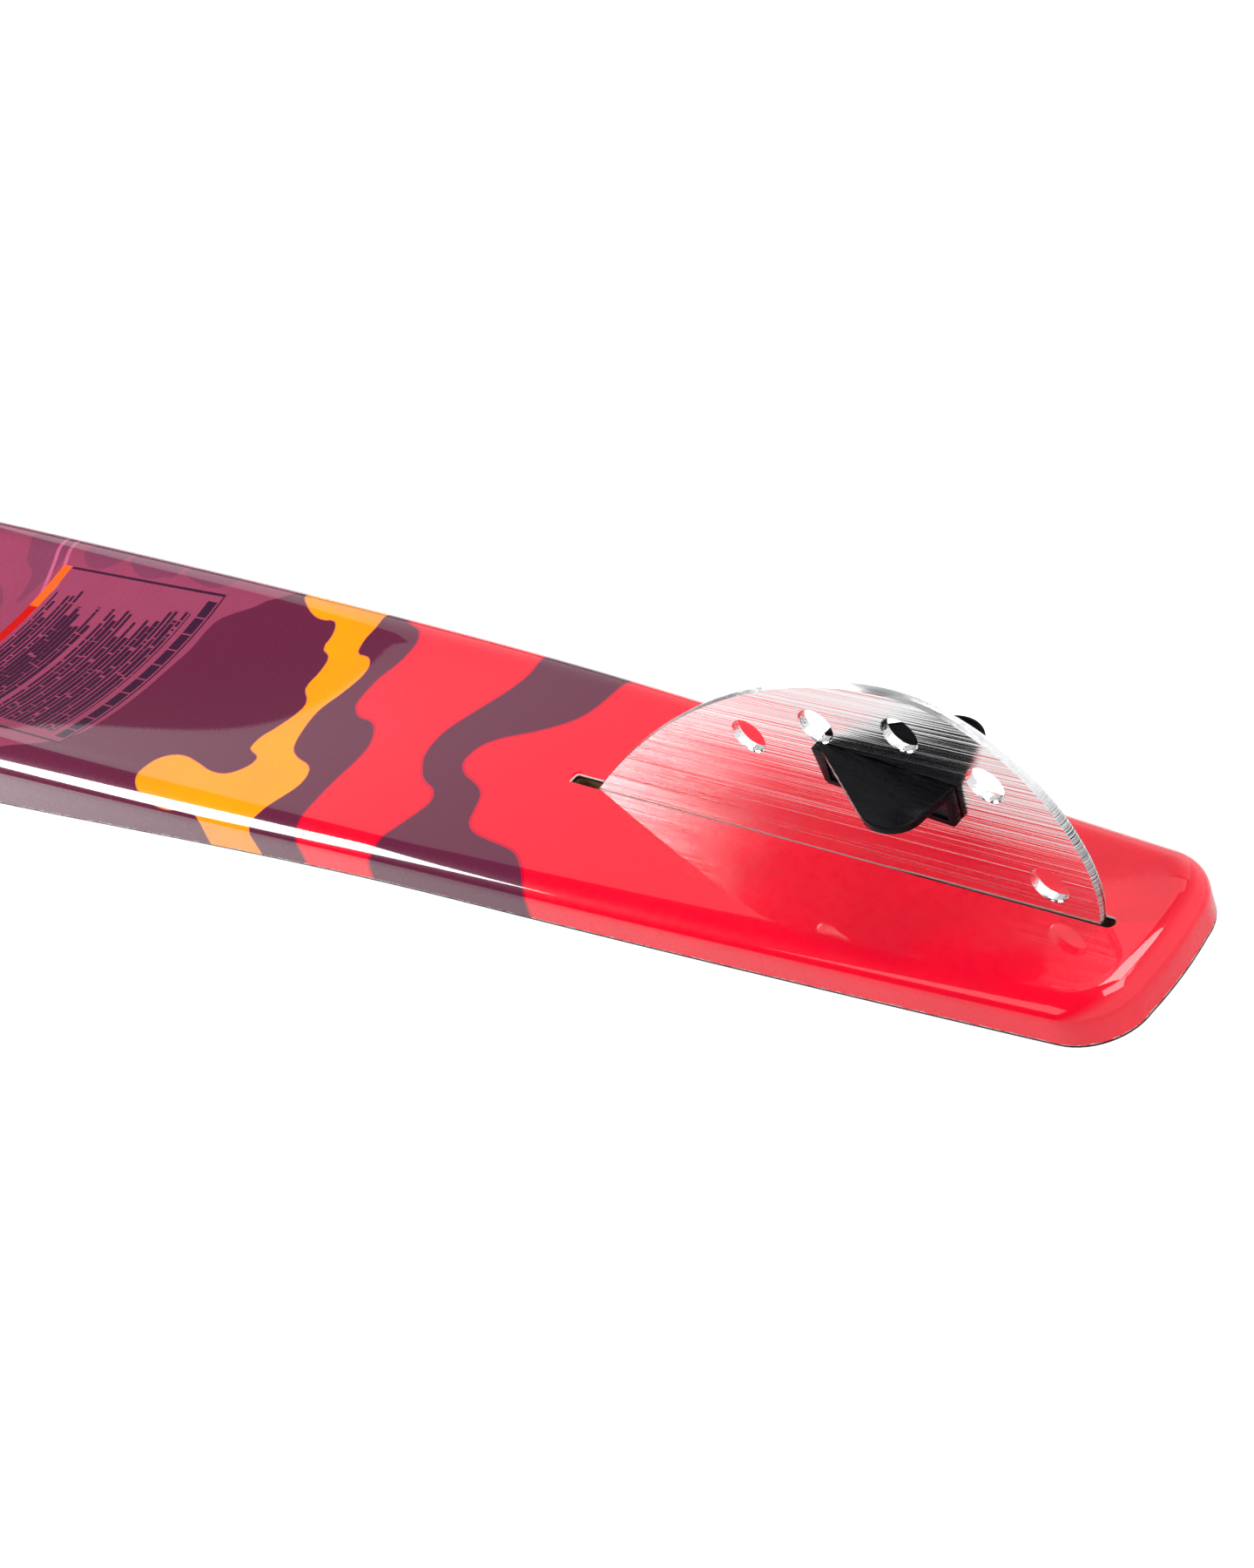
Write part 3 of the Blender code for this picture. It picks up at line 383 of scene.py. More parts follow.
def hull_ring(level, places, columns):
    """One loop round the ski; level gives the inset from the outline and the depth at s."""
    def edge(row, sign):
        s, x, width, normal = row
        inset, depth = level(s)
        at = x - inset * normal.x
        return Vector((at, sign * (width - inset * normal.y), base_z(at) - depth))

    def across(start, end, crown):
        parts = [column / columns for column in range(1, columns)]
        return [start.lerp(end, p) + Vector((crown * (1 - (2 * p - 1) ** 2), 0, 0))
                for p in parts]

    left = [edge(row, 1) for row in places]
    right = [edge(row, -1) for row in places]
    tail = across(left[-1], right[-1], TAIL_CROWN)
    return left + tail + right[::-1] + across(right[0], left[0], 0.0)


def hull_cap(vertices, faces, start, places, columns, concave):
    """Close the ring that starts at index start with a grid across the ski."""
    last = len(places) - 1
    rows = []
    for i, row in enumerate(places):
        left, right = start + i, start + last + columns + last - i
        line = [left]
        for column in range(1, columns):
            part = column / columns
            if i == last:
                line.append(start + last + column)
            elif i == 0:
                line.append(right + columns - column)
            else:
                point = vertices[left].lerp(vertices[right], part)
                if concave:
                    point.z -= tunnel(row[0]) * hollow(2 * part - 1)
                line.append(len(vertices))
                vertices.append(point)
        rows.append(line + [right])
    for low, high in zip(rows, rows[1:]):
        faces += [(low[k], low[k + 1], high[k + 1], high[k]) for k in range(columns)]


def hull(name, levels, concave, fine, coarse, columns):
    """A closed body: a cap, the rings of levels down its side, and the cap that closes it."""
    places = stations(fine, coarse)
    rings = [hull_ring(level, places, columns) for level in levels]
    vertices, faces = strips(rings)
    last = len(vertices) - len(rings[0])
    hull_cap(vertices, faces, 0, places, columns, concave[0])
    hull_cap(vertices, faces, last, places, columns, concave[1])
    return make(name, vertices, faces, smooth=40)


def shoulder(degrees, wall=0.0):
    """A level on the rounded shoulder, wall thick inside the outer surface."""
    angle = math.radians(degrees)

    def level(s):
        width, drop = blend(SHOULDER_WIDTH, s), blend(SHOULDER_DROP, s)
        return width - (width - wall) * math.sin(angle), wall + drop * (1 - math.cos(angle))
    return level


def side(inset, lift):
    """A level at the parting line, lifted towards the base by lift."""
    return lambda s: (inset, side_height(s) - lift)


def down_side(part):
    """A level on the side wall, from the shoulder (part 0) to the parting line (part 1)."""
    def level(s):
        drop = blend(SHOULDER_DROP, s)
        return 0.0, drop + part * (side_height(s) - 0.6 * MM - drop)
    return level


def deck(inset, part, lift=0.0):
    """A level between the parting line (part 0) and the deck (part 1)."""
    return lambda s: (inset, side_height(s) + part * blend(DECK_RISE, s) - lift)


def slot_cutter():
    """The fin slot: square in front, round at the rear, with a chamfered mouth."""
    def ring(grow, z):
        low, high = SLOT_X[0] - grow, SLOT_X[1] + grow
        half, snug = SLOT_HALF + grow, SLOT_SNUG + grow
        big, small = SLOT_NICKS
        points = [(low + big, half, z), (low, half - big, z),
                  (low, small - half, z), (low + small, -half, z)]
        points += [(x, y, z) for x, y in zip(SLOT_SNUG_X, (-half, -snug, -snug, -half))]
        for step in range(11):
            angle = math.radians(-90 + 18 * step)
            points.append((high - half + half * math.cos(angle), half * math.sin(angle), z))
        return points
    below, above = SLOT_CUT
    return loft("slot_cutter", [ring(0, below), ring(0, -SLOT_CHAMFER),
                                ring(SLOT_CHAMFER + above, above)])


def base_skin():
    """Printed base laminate and side walls."""
    levels = [shoulder(a) for a in (0, 8, 16, 24, 32, 40, 48, 56, 64, 72, 81, 90)]
    levels += [down_side(0.33), down_side(0.67), down_side(1), side(0.0, 0.35 * MM)]
    levels += [side(0.2 * MM, GAP / 2), side(SKIN, GAP / 2)]
    levels += [shoulder(a, SKIN) for a in (90, 45, 0)]
    skin = hull("base_skin", levels, (True, True), 2.5 * MM, 11 * MM, 40)
    cut(skin, [slot_cutter()])
    shade(skin, 40)
    return skin


def deck_holes():
    """Cutters for the slot, the inserts and the post's screws, from where the nodes are."""
    slot = stadium(SLOT_X[0], SLOT_X[1], 2.1 * MM)
    tools = [loft("deck_slot", [[(a, b, z) for a, b in slot] for z in (-20 * MM, 5 * MM)])]
    for name in sorted(frame["nodes"]):
        if "_insert_" in name or name.startswith("post_screw"):
            low, high = tail_box(name)
            middle = (low + high) / 2
            radius = (high.y - low.y) / 2 + GAP
            if name.startswith("post_screw"):
                radius = POST_SCREW_R + GAP
            outline = circle(radius, (middle.x, middle.y), 32)
            tools.append(loft(name + "_hole", [[(a, b, z) for a, b in outline]
                                               for z in (low.z - 9 * MM, high.z - 2 * MM)]))
    return tools


def deck_skin():
    """Deck laminate under the ski, with its rounded edge."""
    levels = [deck(DECK_BEVEL, 1.0, DECK_SKIN), side(RIM, -GAP / 2), side(0.15 * MM, -GAP / 2),
              side(0.0, -GAP / 2 - 0.15 * MM), deck(0.15 * MM, 0.2), deck(0.55 * MM, 0.4),
              deck(1.4 * MM, 0.6), deck(3 * MM, 0.78), deck(5.2 * MM, 0.91), deck(7.2 * MM, 0.98),
              deck(DECK_BEVEL, 1.0)]
    skin = hull("deck_skin", levels, (False, False), 8 * MM, 14 * MM, 12)
    cut(skin, deck_holes())
    shade(skin, 40)
    return skin


def tail_box(name):
    """Lowest and highest corner of a CAD node in the tail frame."""
    inverse = TAIL.inverted()
    corners = [inverse @ v.co for v in frame["nodes"][name].data.vertices]
    return (Vector([min(c[k] for c in corners) for k in range(3)]),
            Vector([max(c[k] for c in corners) for k in range(3)]))


# ---------------------------------------------------------------- print on the base

# Where one colour meets the next, as x and v from the far side to the near side.
TAIL_EDGE = ((-26, 62), (-27, 43), (-28.5, 30), (-32, 22.5), (-40.5, 15), (-52, 8), (-57.5, 2.5),
             (-58, -5), (-53, -9.5), (-44.5, -12.5), (-39, -16), (-36, -22), (-33, -28),
             (-27, -31), (-18, -32), (-9, -33), (-3, -36), (3, -41.5), (6, -47), (5, -55),
             (3, -70))
SECOND_REAR = ((-72, 62), (-70, 48), (-68, 38.5), (-70, 28.5), (-75.5, 15.5), (-79, 5),
               (-77.5, -6), (-71, -14), (-66, -17.5), (-59.5, -20), (-56, -25), (-58, -34),
               (-60.5, -42), (-61, -48), (-62, -52), (-64, -58), (-66, -74))
SECOND_FRONT = ((-151, 64), (-144.5, 52.5), (-137, 49.5), (-132.5, 47), (-129, 42),
                (-128.5, 32), (-131, 22), (-130, 11), (-126.5, 6.5), (-121.5, 4), (-116, 3.5),
                (-110.5, 1), (-105, -5.5), (-102.5, -13.5), (-102, -28.5), (-100, -42),
                (-98, -48), (-96, -54), (-96, -60), (-97, -78))
ORANGE_REAR = ((-160, 66), (-158, 53), (-155.5, 46), (-156, 39.5), (-154, 33), (-151, 31.5),
               (-147, 31.5), (-142.5, 28.5), (-140.5, 22.5), (-142, 13), (-144.5, 3),
               (-142, -7.5), (-137, -16.5), (-130, -20.5), (-122, -22.5), (-117.5, -26),
               (-115.5, -32.5), (-117.5, -41.5), (-119, -48), (-120.5, -54), (-119, -80))
ORANGE_FRONT = ((-213, 66), (-208.5, 55), (-200.5, 49), (-192, 45), (-185, 44), (-180.5, 44.5),
                (-177, 43), (-174, 37.5), (-173, 31.5), (-166, 28), (-163.5, 21), (-162.5, 12),
                (-155, 6), (-153.5, 0), (-156, -9.5), (-158, -15), (-156.5, -21.5),
                (-148.5, -24.5), (-147.5, -29.5), (-152.5, -35.5), (-161, -36.5), (-173, -34),
                (-182.5, -32.5), (-189.5, -34), (-193.5, -38.5), (-192.5, -45.5), (-188, -51.5),
                (-181, -55), (-171.5, -57), (-164.5, -57), (-157, -55), (-150, -55.5),
                (-147, -59), (-148, -64), (-149, -82))
MAUVE_REAR = ((-211, 70), (-216, 53), (-224, 47.5), (-230, 43.5), (-238, 39.5), (-244, 35),
              (-245.5, 28), (-245, 20), (-246.5, 6), (-247, -18), (-249, -36), (-262, -48),
              (-281, -56), (-292, -66), (-300, -86))
MAUVE_PATCHES = (
    ((-408, 62), (-403, 53), (-398, 46), (-389, 42), (-384, 37), (-381, 30), (-378, 22),
     (-374, 36), (-372, 50), (-375, 66)),
    ((-362, 57), (-353, 49), (-343, 48), (-334, 51), (-331, 57), (-338, 72), (-356, 72)),
    ((-328, 58), (-321, 51.5), (-309, 47.5), (-296, 49.5), (-289, 51), (-292, 58),
     (-300, 70), (-320, 72)),
    ((-287, 55), (-273, 50), (-259, 49), (-252, 56), (-262, 72), (-281, 72)),
    ((-402, 31), (-394, 27), (-387, 21), (-388, 12), (-398, 8), (-410, 14), (-411, 26)),
    ((-330, -52), (-316, -50), (-306, -55), (-309, -66), (-322, -74), (-334, -66)),
)
BEYOND_TAIL, BEYOND_NOSE = (320, 90), (-1600, 120)     # x and v that close the open outlines
PANEL_X, PANEL_V = (-361, -250), (-43.5, 47)
PANEL_LINE, PANEL_HEAD = 1.1, -9     # width of its outline, and what is solid at its front
ROWS_X, ROWS_V = (-358.5, -262.5), ((-38.4, -37.8), 43.0)
ROW_PITCH, ROWS_IN_GROUP = 3.3, 5.0
STRIP_X, STRIP_V = (-258.4, -252.2), (-40, 43)
TICK_PITCH = 8.6
BAR_X, BAR_MEET = (-368.5, -362), (23.8, 24.2)         # where its two colours meet
STREAKS, STREAK_WIDTH, STREAK_SLANT = (-352.0, -343.5), 2.6, 0.55
FORWARD_FROM = (-412, -414)          # where the print that the photo doesn't show takes over
MOUTH = 0.42                         # raw laminate round the slot
CUT_MARKS = (205, 243)               # along the fin's rim
WEAVE_PITCH = 2.0
FAR_AWAY = -30.0                     # distance given to what is nowhere near an area


def smooth_curve(points, steps=7, closed=False):
    """Points along a Catmull-Rom curve through the given points."""
    pts = [np.array(p, float) for p in points]
    if closed:
        padded = [pts[-1]] + pts + pts[:2]
    else:
        padded = [2 * pts[0] - pts[1]] + pts + [2 * pts[-1] - pts[-2]]
    curve = []
    for a, b, c, d in zip(padded, padded[1:], padded[2:], padded[3:]):
        for step in range(steps):
            t = step / steps
            curve.append(0.5 * (2 * b + (c - a) * t + (2 * a - 5 * b + 4 * c - d) * t * t
                                + (3 * b - 3 * c + d - a) * t ** 3))
    if not closed:
        curve.append(pts[-1])
    return np.array(curve)


def signed_distance(places, outline):
    """Distance in millimetres from a closed outline, positive inside, for the places near it."""
    low, high = outline.min(0) - 12, outline.max(0) + 12
    near = np.all((places > low) & (places < high), axis=1)
    p = places[near]
    result = np.full(len(places), FAR_AWAY)
    nearest = np.full(len(p), 1e9)
    inside = np.zeros(len(p), bool)
    for a, b in zip(outline, np.roll(outline, -1, axis=0)):
        run = b - a
        length = run @ run
        if length < 1e-12:
            continue
        t = np.clip((p - a) @ run / length, 0, 1)
        nearest = np.minimum(nearest, np.linalg.norm(p - a - t[:, None] * run, axis=1))
        crossing = (a[1] > p[:, 1]) != (b[1] > p[:, 1])
        rise = run[1] if abs(run[1]) > 1e-12 else 1e-12
        inside ^= crossing & (p[:, 0] < a[0] + (p[:, 1] - a[1]) / rise * run[0])
    result[near] = np.where(inside, nearest, -nearest)
    return result


def unrolled(co):
    """x, v and height above the parting line in millimetres, for points on the outer skin."""
    x, y, z = co.T
    s = TAIL_X - x
    width, drop = blend(SHOULDER_WIDTH, s), blend(SHOULDER_DROP, s)
    half = half_width(s)
    depth = base_z(x) - z
    inset = half - np.abs(y)
    angle = np.where(depth < drop, np.arcsin(np.clip(1 - inset / width, 0, 1)), math.pi / 2)
    arc = np.zeros(len(x))
    steps = 16
    for step in range(steps):
        middle = angle * (step + 0.5) / steps
        arc += np.hypot(width * np.cos(middle), drop * np.sin(middle)) * angle / steps
    v = half - width + arc + np.where(depth > drop, depth - drop, 0)
    v = np.where(np.abs(y) <= half - width, np.abs(y), v) * np.sign(y)
    return np.stack([x, v, side_height(s) - depth], axis=1) / MM


def print_areas():
    """Each printed area's outline."""
    def band(front, rear):
        return np.concatenate([smooth_curve(front), smooth_curve(rear)[::-1]])

    def area(edge, x, v):
        return np.concatenate([smooth_curve(edge), [(x, -v), (x, v)]])

    return {
        "tail_red": area(TAIL_EDGE, *BEYOND_TAIL),
        "second_red": band(SECOND_FRONT, SECOND_REAR),
        "orange": band(ORANGE_FRONT, ORANGE_REAR),
        "mauve": area(MAUVE_REAR, *BEYOND_NOSE),
    }


def add_values(obj, name, values):
    """Store one number for each vertex, for the materials to read."""
    layer = obj.data.attributes.new(name, "FLOAT", "POINT")
    layer.data.foreach_set("value", np.asarray(values, np.float32))


def add_print(skin):
    """Store where each vertex lies on the print, and its distance inside each printed area."""
    flat = unrolled(vertex_places(skin))
    for column, name in enumerate(("along", "across", "rise")):
        add_values(skin, name, flat[:, column])
    places = flat[:, :2]
    for name, outline in print_areas().items():
        add_values(skin, name, signed_distance(places, outline))
    patches = [signed_distance(places, smooth_curve(p, closed=True)) for p in MAUVE_PATCHES]
    add_values(skin, "patch", np.max(patches, axis=0))


# ---------------------------------------------------------------- fin and wings

def bezier(points, steps):
    """Points along a cubic curve, without its last one."""
    result = []
    for step in range(steps):
        t = step / steps
        weights = ((1 - t) ** 3, 3 * t * (1 - t) ** 2, 3 * t * t * (1 - t), t ** 3)
        result.append(tuple(sum(w * p[k] for w, p in zip(weights, points)) for k in (0, 1)))
    return result


def fin_rim():
    """The fin's curved rim, from its front corner over the peak to its rear corner."""
    top = FIN_PEAK[1]
    low_front, high_front, high_rear, low_rear = RIM_PULLS
    front = ((0, 0), low_front, (high_front, top), FIN_PEAK)
    rear = (FIN_PEAK, (high_rear, top), low_rear, (FIN_LENGTH, 0))
    return bezier(front, RIM_STEPS) + bezier(rear, RIM_STEPS) + [(FIN_LENGTH, 0)]


def inset_rim(rim, full, share):
    """The blade's outline with its rim drawn in by a share of the bevel's width there."""
    inner = list(full)
    for i in range(1, len(rim) - 1):
        (x0, z0), (x1, z1) = rim[i - 1], rim[i + 1]
        normal = Vector((z0 - z1, x1 - x0)).normalized()
        grow = smooth_step(rim[i][0], FIN_BEVEL_GROWS, FIN_PEAK[0])
        width = share * (FIN_BEVEL[0] + (FIN_BEVEL[1] - FIN_BEVEL[0]) * grow)
        width *= smooth_step(rim[i][1], 0, RIM_FADE)
        inner[i] = (rim[i][0] - width * normal.x, rim[i][1] - width * normal.y)
    return inner


def chamfered_hole(name, centre, radius, sides=72):
    """A cutter for a round hole with a chamfer at both faces."""
    half = FIN_THICKNESS / 2
    profile = ((radius + HOLE_CHAMFER + 2 * MM, half + 2 * MM), (radius, half - HOLE_CHAMFER))
    rings = [upright(circle(r, centre, sides), -y) for r, y in profile]
    rings += [upright(circle(r, centre, sides), y) for r, y in profile[::-1]]
    return loft(name, rings)


def lock_slot():
    """The curved slot that the locking screw moves in."""
    radius = WING_SCREW_R + GAP
    pivot = wing_point(*PIVOT)
    arm = LOCK[0] - PIVOT[0]
    points = []
    for reach, angles in ((arm + radius, range(-6, 7)), (arm - radius, range(6, -7, -1))):
        for step in angles:
            angle = -WING_PITCH + LOCK_SWEEP * step / 6
            points.append((pivot[0] + reach * math.cos(angle), pivot[1] + reach * math.sin(angle)))
    return points


def fin_blade():
    """The brushed plate with its bevelled rim and chamfered holes."""
    rim = fin_rim()
    full = rim + [(x * MM, z * MM) for x, z in TANG]
    half, edge = FIN_THICKNESS / 2, FIN_EDGE / 2
    layers = ((1.0, half), (0.93, half - 0.07 * MM), (0.12, edge + 0.1 * MM), (0.0, edge))
    rings = [upright(inset_rim(rim, full, share), -y) for share, y in layers]
    rings += [upright(inset_rim(rim, full, share), y) for share, y in layers[::-1]]
    blade = loft("fin", rings, smooth=12)
    tools = [chamfered_hole(f"water_hole_{i}", (x * MM, z * MM), WATER_HOLE_R)
             for i, (x, z) in enumerate(WATER_HOLES)]
    height, radius, travel = CLAMP_HOLE
    for x in CLAMP_HOLES:
        tall = stadium(height - radius - travel, height + radius + travel, radius, x * MM)
        outline = [(across, up) for up, across in tall]
        tools.append(slab(f"clamp_hole_{x}", outline, -CUTTER, CUTTER))
    for name, outline in (("pivot_hole", circle(WING_SCREW_R + GAP, wing_point(*PIVOT), 24)),
                          ("lock_slot", lock_slot())):
        tools.append(slab(name, outline, -CUTTER, CUTTER))
    cut(blade, tools)
    shade(blade, 12)
    mark_rim(blade, rim)
    brush_direction(blade)
    return blade


def mark_rim(blade, rim):
    """Store how far along the curved rim each vertex lies, and 1 for those on the rim itself."""
    co = vertex_places(blade)
    curve = np.array(rim)
    lengths = np.concatenate([[0], np.cumsum(np.hypot(*np.diff(curve, axis=0).T))])
    gaps = np.hypot(co[:, None, 0] - curve[:, 0], co[:, None, 2] - curve[:, 1])
    nearest = gaps.argmin(axis=1)
    reach = FIN_BEVEL[1] + RIM_REACH
    off_face = np.abs(co[:, 1]) < FIN_THICKNESS / 2 - 0.02 * MM
    add_values(blade, "rim", (gaps.min(axis=1) < reach) & off_face & (co[:, 2] > 0))
    add_values(blade, "round", lengths[nearest] / MM)


def brush_direction(obj):
    """A UV map whose U runs across the brushing, for the metal's stretched highlights."""
    layer = obj.data.uv_layers.new(name="brush")
    for loop in obj.data.loops:
        x, y, z = obj.data.vertices[loop.vertex_index].co
        layer.data[loop.index].uv = ((z + 0.02 * y) * 5, x * 5)


def wing_outline(inset=0.0, steps=20):
    """The plate's outline: a straight leading edge, a round tip and a square trailing edge."""
    along, out, radius = WING_NOSE
    lean = math.atan2(out, along) + math.asin(radius / math.hypot(along, out))
    start = lean + math.pi / 2
    radius -= inset
    first = (inset * 1.6, 0.0)
    tip = []
    for step in range(steps + 1):
        angle = start * (1 - step / steps)
        tip.append((along + radius * math.cos(angle), out + radius * math.sin(angle)))
    return [first] + tip + [(WING_CHORD - inset, 0)]


def spread(outline, sign, root):
    """Plan points moved out from the fin's face, on the side that sign gives."""
    shrink = 1 - root / WING_NOSE[1] / 2
    return [(x, sign * (root + y * shrink)) for x, y in outline]


def wing(name, sign):
    """One moulded wing: a plate with a fine bead round its edge, and its recessed flange."""
    root = FIN_THICKNESS / 2 + GAP
    full = spread(wing_outline(), sign, root)
    plate = loft(name, [[(x, y, z) for x, y in full] for z in (-WING_PLATE, 0)])
    low, high = sorted((sign * root, sign * (root + FLANGE_THICK)))
    profile = [(0, -0.5 * MM), (FLANGE_LEAN, -FLANGE_DEPTH + FLANGE_CORNER),
               (FLANGE_LEAN + FLANGE_CORNER, -FLANGE_DEPTH),
               (WING_CHORD - FLANGE_CORNER, -FLANGE_DEPTH),
               (WING_CHORD, -FLANGE_DEPTH + FLANGE_CORNER), (WING_CHORD, -0.5 * MM)]
    cut(plate, [slab(name + "_flange", profile, low, high)], "UNION")
    outer = sign * (root + FLANGE_THICK)
    ends, foot, top = RECESS_MARGIN
    low_edge, high_edge = -FLANGE_DEPTH + foot, -WING_PLATE - top
    front, rear = FLANGE_LEAN + ends, WING_CHORD - ends
    recess = [(front, low_edge), (rear, low_edge), (rear, high_edge), (front, high_edge)]
    tools = [slab(name + "_panel", recess,
                  *sorted((outer - sign * RECESS, outer + sign * CUTTER)))]
    for i, (along, below) in enumerate((PIVOT, LOCK)):
        hole = circle(WING_SCREW_R + GAP, (along, -below), 24)
        tools.append(slab(f"{name}_hole_{i}", hole, low - 1 * MM, high + 1 * MM))
    cut(plate, tools)
    bevel(plate, WING_ROUNDS[0])
    width, depth = WING_BEAD
    inner = spread(wing_outline(width), sign, root)
    inner = [(inner[0][0], 0)] + inner + [(inner[-1][0], 0)]
    well = loft(name + "_well", [[(x, y, z) for x, y in inner] for z in (-depth, 2 * MM)])
    cut(plate, [well])
    bevel(plate, WING_ROUNDS[1], segments=2, angle=50)
    shade(plate, 30)
    plate.matrix_world = WING
    return plate


# ---------------------------------------------------------------- materials

class Value:
    """What comes out of a node, for sums written with the usual signs."""

    def __init__(self, graph, socket):
        self.graph, self.socket = graph, socket

    def __add__(self, other):
        return self.graph.math("ADD", self, other)

    def __sub__(self, other):
        return self.graph.math("SUBTRACT", self, other)

    def __rsub__(self, other):
        return self.graph.math("SUBTRACT", other, self)

    def __mul__(self, other):
        return self.graph.math("MULTIPLY", self, other)

    def __truediv__(self, other):
        return self.graph.math("DIVIDE", self, other)

    def __abs__(self):
        return self.graph.math("ABSOLUTE", self)


class Graph:
    """The nodes of a material or world; every input is a number, a colour or a Value."""

    def __init__(self, owner, shader="Principled BSDF", **settings):
        self.owner = owner
        owner.use_nodes = True
        self.tree = owner.node_tree
        self.shader = self.tree.nodes[shader]
        for socket, value in settings.items():
            self.set(socket.replace("_", " "), value)

    def set(self, socket, value):
        """Give one of the shader's sockets a value or a link."""
        self.feed(self.shader.inputs[socket], value)

    def feed(self, socket, value):
        """Link a socket, or set its own value."""
        if isinstance(value, Value):
            self.tree.links.new(value.socket, socket)
        elif isinstance(value, tuple) and len(value) == 3 and socket.type == "RGBA":
            socket.default_value = (*value, 1)
        else:
            socket.default_value = value

    def finish(self, colour, rough, normal):
        """Wire up what every material has, and hand the material back."""
        self.set("Base Color", colour)
        self.set("Roughness", rough)
        self.set("Normal", normal)
        return self.owner

    def node(self, kind, inputs=(), output=0, **settings):
        """The output of a new node with its plain settings and its inputs by name or number."""
        made = self.tree.nodes.new(kind)
        for key, value in settings.items():
            setattr(made, key, value)
        for key, value in inputs:
            self.feed(made.inputs[key], value)
        return Value(self, made.outputs[output])

    def math(self, operation, *values, clamp=False):
        """One sum of up to three values."""
        return self.node("ShaderNodeMath", enumerate(values), operation=operation,
                         use_clamp=clamp)

    def ramp(self, value, low, high, to_low=0.0, to_high=1.0):
        """to_low below low, to_high above high and straight between."""
        return self.node("ShaderNodeMapRange", enumerate((value, low, high, to_low, to_high)))

    def mix(self, share, a, b):
        """From colour a to colour b."""
        return self.node("ShaderNodeMix", ((0, share), (6, a), (7, b)), 2, data_type="RGBA")

    def value(self, name):
        """A number stored on the mesh."""
        return self.node("ShaderNodeAttribute", (), "Fac", attribute_name=name)

    def vector(self, x, y, z=0.0):
        """Three values as one place."""
        return self.node("ShaderNodeCombineXYZ", enumerate((x, y, z)))

    def position(self, scale=(1, 1, 1)):
        """The place on the piece in millimetres, stretched by scale."""
        at = self.node("ShaderNodeTexCoord", (), "Object")
        return self.node("ShaderNodeMapping",
                         (("Scale", [1000 * k for k in scale]), ("Vector", at)))

    def chance(self, number):
        """A random share for each whole number."""
        return self.node("ShaderNodeTexWhiteNoise", (("W", number),), "Value",
                         noise_dimensions="1D")

    def noise(self, vector, scale, detail=2.0, roughness=0.5, dimensions="3D"):
        """Cloudy noise, with scale in features per unit."""
        inputs = (("Vector", vector), ("Scale", scale), ("Detail", detail),
                  ("Roughness", roughness))
        return self.node("ShaderNodeTexNoise", inputs, "Fac", noise_dimensions=dimensions)

    def bump(self, height, distance, strength=1.0):
        """A bumped normal; height is in units of distance, which is in metres."""
        return self.node("ShaderNodeBump", (("Strength", strength), ("Distance", distance),
                                            ("Height", height)))

    def inside(self, distance, edge=0.12):
        """1 inside an area and 0 outside, with an edge soft over edge millimetres."""
        return self.ramp(distance, -edge, edge)

    def within(self, value, low, high, edge=0.08):
        """1 where a value lies between two limits."""
        return (self.ramp(value, low - edge, low + edge)
                * self.ramp(value, high + edge, high - edge))


def new_material(name, **settings):
    """The graph of a new material, with the shader's plain values."""
    return Graph(bpy.data.materials.new(name), **settings)


RED = (0.93, 0.002, 0.024)
CRIMSON = (0.58, 0.0, 0.03)
MAROON = (0.115, 0.015, 0.043)
MAUVE = (0.27, 0.046, 0.097)
MAUVE_DARK = (0.19, 0.04, 0.085)
MAUVE_LIGHT = (0.47, 0.1, 0.19)
ORANGE = (0.93, 0.31, 0.002)
ORANGE_EDGE = (0.72, 0.16, 0.08)
INK = (0.034, 0.009, 0.028)
BAR_ORANGE = (0.98, 0.11, 0.012)
BAR_RED = (0.5, 0.006, 0.004)
RAW_LAMINATE = (0.85, 0.68, 0.64)
# Painted shade for the slot's wall, deeper than its mouth
SLOT_PAINTED_SHADE = (0.025, 0.018, 0.016)

# The print on the front half: each colour covers the ones before where the level is higher.
FORWARD_BANDS = ((0.44, MAUVE_DARK), (0.48, MAROON), (0.53, ORANGE), (0.555, MAROON),
                 (0.575, RED), (0.68, MAROON), (0.72, RED))


def panel_rows(along, across):
    """Plain bars of uneven length that fill the outlined panel, with no lettering."""
    graph = along.graph
    place_in = along / ROW_PITCH
    row = graph.math("FLOOR", place_in)
    group = graph.math("FLOOR", row / ROWS_IN_GROUP)
    length, group_length = graph.chance(row), graph.chance(group + 0.37)
    bold = graph.ramp(length, 0.45, 0.5, 0.0, 0.14)
    bar = graph.ramp(abs(place_in - row - 0.5) - bold, 0.34, 0.28)
    far_end = ROWS_V[1] - length * 16.0 - group_length * 13.0
    reach = graph.ramp(far_end - across, -0.3, 0.3)
    near_end = graph.ramp(across, *ROWS_V[0])
    kept = graph.math("GREATER_THAN", length, 0.1)
    gaps = graph.noise(graph.vector(row * 7.3, across), 0.5, 1.0, dimensions="2D")
    ink = bar * (reach * near_end)
    ink = ink * (kept * graph.ramp(gaps, 0.28, 0.33))
    return ink * graph.within(along, *ROWS_X)


